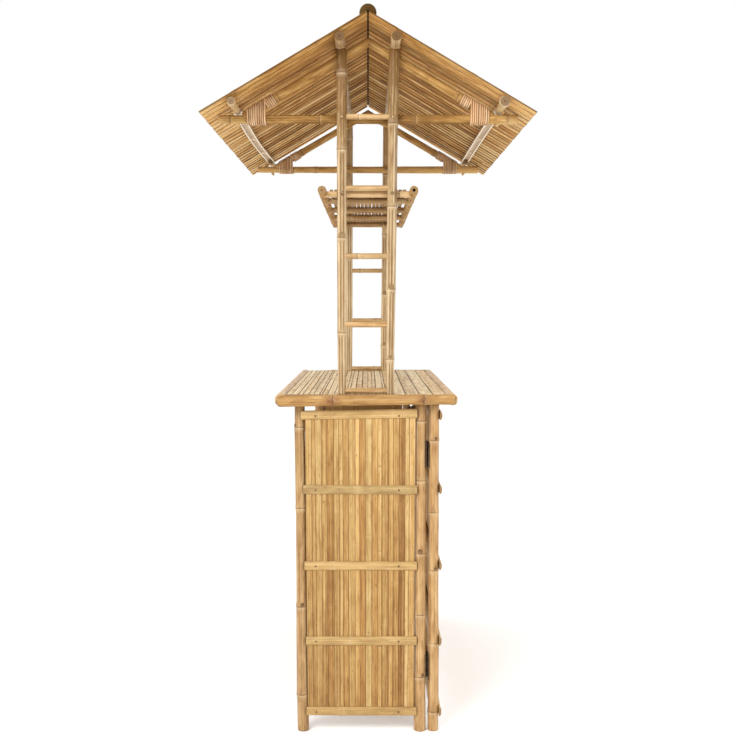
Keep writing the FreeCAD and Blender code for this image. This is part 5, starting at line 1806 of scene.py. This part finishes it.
@dataclass
class Roof:
    """The purlins, pegs, slatted slopes and ridge pole."""

    seed: int = 1100
    pitch: float = math.radians(30.5)
    slat_count: int = 30
    slat_gap: float = 0.0026
    slat_thickness: float = 0.008
    slope_length: float = 0.5655
    ridge_gap: float = 0.007
    top_height: float = 2.170
    purlin_form: CulmForm = CulmForm(0.0148, 0.0143, (EndForm.PITH, EndForm.PITH), sides=22, ridge=0.001)
    tip_radii: tuple[float, float] = (0.0150, 0.0114)
    tip_lifts: tuple[float, float] = (0.0, 0.0013)
    channel_bows: tuple[float, float] = (0.002, 0.010)
    channel_end: float = 0.538
    channel_radius: float = 0.0147
    channel_wall: float = 0.0042
    tip_head: float = 0.0096
    tip_nodes: tuple[float, ...] = (0.012, 0.148)
    peg_form: CulmForm = CulmForm(0.0045, 0.0042, sides=14, ridge=0.0, kink=0.0, bow=(0.0, 0.0004))
    peg_lean: float = math.radians(36)
    peg_half: float = 0.027
    ridge_depth: float = 0.0261
    ridge_form: CulmForm = CulmForm(
        0.0248, 0.0248 * 0.97, (EndForm.DOMED, EndForm.DOMED), sides=28, ridge=0.0006
    )

    def build(self) -> None:
        """Build the roof's pieces."""
        piece = Piece("upper_purlin_culms", self.seed)
        piece.rods("upper_purlins", 0, self.purlin_form, 0.25, tones=(0.6, 0.2))
        piece.finish(Finish.POLE, "top", "upper_purlins")
        self.eave_purlins()
        for sign, side in ((-1, "front"), (1, "back")):
            self.slope(sign, side)
        self.pegs()
        self.ridge()

    def eave_purlins(self) -> None:
        """Lay the eave purlins: whole culms over the trusses, split to a channel between them."""
        piece = Piece("eave_purlin_channels", self.seed + 1)
        length = 2 * self.channel_end
        nodes = (0.20, 0.5 * length, length - 0.22)
        plan = zip(solids("eave_purlins"), self.tip_radii, self.tip_lifts, self.channel_bows)
        for box, radius, lift, bow in plan:
            start, end = ends_along(box, 0)
            for tip, sign in ((start, -1), (end, 1)):
                inner = Vector((sign * self.channel_end, tip.y, tip.z))
                form = CulmForm(radius, self.tip_head, (EndForm.PITH, EndForm.SAWN), sides=22, ridge=0.0018)
                piece.culm(tip + Z * lift, inner, form, self.tip_nodes, tone=0.7)
            begin = Vector((-self.channel_end, start.y, start.z))
            channel = Channel(length, self.channel_radius, self.channel_wall, nodes, 0.6, piece.chance, bow)
            piece.add(channel, laid(begin, begin + X, Z))
        piece.finish(Finish.CHANNEL, "top", "eave_purlins")

    def slope(self, sign: int, side: str) -> None:
        """Lay one slope's slats from ridge to eave.

        Args:
            sign: Which way the slope falls along Y.
            side: Name of the slope.
        """
        node = f"roof_slats_{side}"
        piece = Piece(f"roof_split_slats_{side}", self.seed + 10 + sign)
        chance = piece.chance
        low, high = corners(node)
        down = Vector((0, sign * math.cos(self.pitch), -math.sin(self.pitch)))
        up = Vector((0, sign * math.sin(self.pitch), math.cos(self.pitch)))
        edges = uneven_edges(low.x, high.x + self.slat_gap, self.slat_count, 0.13, chance)
        ridge = Vector((0, 0, self.top_height)) + down * self.ridge_gap - up * self.slat_thickness
        for near, far in pairwise(edges):
            share = (near - low.x) / (high.x - low.x)
            gap = self.slat_gap * chance.uniform(1.1, 1.6)
            length = self.slope_length - chance.uniform(0, 0.002)
            thickness = self.slat_thickness - chance.uniform(0, 0.0012)
            tone = min(1.0, max(0.0, chance.gauss(0.52, 0.08 + 0.26 * share))) + 0.4 + 0.1 * share
            # Painted shade: dark long edges, wider and darker towards +X, stand for the shade in the gaps
            # between slats.
            slat = Slat(
                length, far - near - gap, thickness, node_heights(length, 0.26, chance), tone, chance,
                crown=0.0012, bend=0.0006, painted_seam_shade=0.7 + 0.9 * share, painted_seam_width=0.035 + 0.17 * share,
                belly=0.0012 + 0.0034 * share,
            )
            # Painted light and shade: each slat is painted darker at the ridge and paler towards the eave,
            # for the light bounced up under the eave.
            slat.fade = 0.42
            start = ridge + X * ((near + far - self.slat_gap) / 2)
            piece.add(slat, laid(start, start + down, up))
        piece.finish(Finish.ROOF, "top", node)

    def pegs(self) -> None:
        """Drive the pegs that hold the eave purlins."""
        piece = Piece("roof_peg_turnings", self.seed + 20)
        for low, high in solids("roof_pegs"):
            sign = 1 if low.y > 0 else -1
            half = Vector((0, sign * math.sin(self.peg_lean), math.cos(self.peg_lean))) * self.peg_half
            spot = (low + high) / 2
            piece.culm(spot - half, spot + half, self.peg_form, (), X)
        piece.finish(Finish.DOWEL, "top", "roof_pegs")

    def ridge(self) -> None:
        """Lay the weathered ridge pole, notched to sit on both slopes."""
        piece = Piece("ridge_pole_culm", self.seed + 30)
        start, end = ends_along(corners("ridge_pole"), 0)
        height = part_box("ridge_pole")[1][2] - self.ridge_depth
        start.z = end.z = height
        length = (end - start).length
        nodes = node_heights(length, 0.2, piece.chance, 0.03)
        culm = Culm(length, self.ridge_form, nodes, 0.45, piece.chance)
        for vert in culm.mesh.verts:
            floor = self.top_height - height - abs(vert.co.x) * math.tan(self.pitch)
            vert.co.y = max(vert.co.y, floor)
        piece.add(culm, laid(start, end, Z))
        piece.finish(Finish.WEATHERED, "top", "ridge_pole")


@dataclass
class Ironwork:
    """The nodes of the frame whose shape stays: hinge leaves, screws and pins."""

    panels: tuple[str, ...] = ("front", "wing_left", "wing_right")
    parts: tuple[str, ...] = ("hinge_leaves", "hinge_screws")

    def build(self) -> None:
        """Give the hinges their steel."""
        for node in ("hinge_pins", *(f"{panel}_{part}" for part in self.parts for panel in self.panels)):
            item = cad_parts[node]
            for slot in item.material_slots:
                slot.material = material_of(Finish.HINGE)
            if not item.material_slots:
                item.data.materials.append(material_of(Finish.HINGE))
            LOG.info("%s: steel", node)


# Camera, floor and light
@dataclass
class Studio:
    """The photograph's view, a pale floor and soft light.

    Attributes:
        camera_place: Where the camera stands.
        tilt_down: How far it looks down, in degrees.
        lens: Its focal length in millimetres.
        floor_size: Length of the floor's side.
        lights: Name, place, height aimed at, length of side and watts of each light.
    """

    camera_place: tuple[float, float, float] = (-3.7286, 0.0, 1.3056)
    tilt_down: float = 3.27
    lens: float = 50.39
    floor_size: float = 30.0
    lights: tuple[tuple[str, tuple[float, float, float], float, float, float], ...] = (
        ("key", (-3.4, 1.9, 3.4), 1.2, 1.8, 120), ("fill", (-3.4, -2.4, 1.6), 1.0, 2.2, 26),
        ("front", (1.0, -4.0, 2.6), 1.2, 2.6, 40), ("back", (1.8, 3.8, 2.8), 1.3, 2.4, 30),
    )

    def build(self) -> None:
        """Set the camera, the sky, the floor and the lights."""
        scene = bpy.context.scene
        camera = bpy.data.cameras.new("photograph_view")
        camera.lens = self.lens
        camera.sensor_width = 36
        camera.clip_end = 60
        scene.camera = self.place("photograph_view", camera)
        scene.camera.location = self.camera_place
        scene.camera.rotation_euler = (math.radians(90 - self.tilt_down), 0, math.radians(-90))
        scene.view_settings.view_transform = "Standard"
        scene.world = bpy.data.worlds.new("white_surround")
        scene.world.use_nodes = True
        shade = scene.world.node_tree.nodes["Background"]
        shade.inputs["Color"].default_value = (1, 1, 1, 1)
        shade.inputs["Strength"].default_value = 1.0
        self.floor()
        for name, spot, aim, size, power in self.lights:
            light = bpy.data.lights.new(name, "AREA")
            light.size = size
            light.energy = power
            item = self.place(name, light)
            item.location = spot
            item.rotation_euler = (Vector((0, 0, aim)) - Vector(spot)).to_track_quat("-Z", "Y").to_euler()

    def place(self, name: str, data: bpy.types.ID) -> bpy.types.Object:
        """Put something in the studio.

        Args:
            name: Name of the object.
            data: Its camera, light or mesh.

        Returns:
            The object.
        """
        item = bpy.data.objects.new(name, data)
        bpy.context.collection.objects.link(item)
        return item

    def floor(self) -> None:
        """Lay the pale floor."""
        mesh = bmesh.new()
        bmesh.ops.create_grid(mesh, x_segments=8, y_segments=8, size=self.floor_size / 2)
        data = bpy.data.meshes.new("pale_floor")
        mesh.to_mesh(data)
        mesh.free()
        shader = Shader("pale_floor")
        cloud = shader.noise(shader.add("TexCoord", "Object"), (0.6, 0.6, 0.6), 2)
        shader.feed(
            shader.surface, Base_Color=shader.mix(cloud, (0.93, 0.93, 0.93), (0.96, 0.96, 0.955)),
            Roughness=0.9, Specular_IOR_Level=0.1, Emission_Color=(1, 1, 1, 1), Emission_Strength=0.12,
        )
        data.materials.append(shader.material)
        item = self.place("pale_floor", data)


def main() -> None:
    """Build the bar, piece by piece."""
    logging.basicConfig(level=logging.INFO, format="%(name)s %(message)s")
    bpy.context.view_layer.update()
    for part in (
        Studio(), Wing(), Wing("wing_right", "wing_right", seed=200, side=1), FrontPanel(), Counter(),
        # Painted light: the right ladder's tone is raised above the left's, offsetting the key light's shade
        # on it.
        Ladder(), Ladder("ladder_right", seed=750, tone=0.35), Rack(), Truss(),
        Truss("right", side=1, seed=950, tie_tone=0.85, rafter_tone=0.75), Roof(), Ironwork(),
    ):
        part.build()


if __name__ == "__main__":
    main()
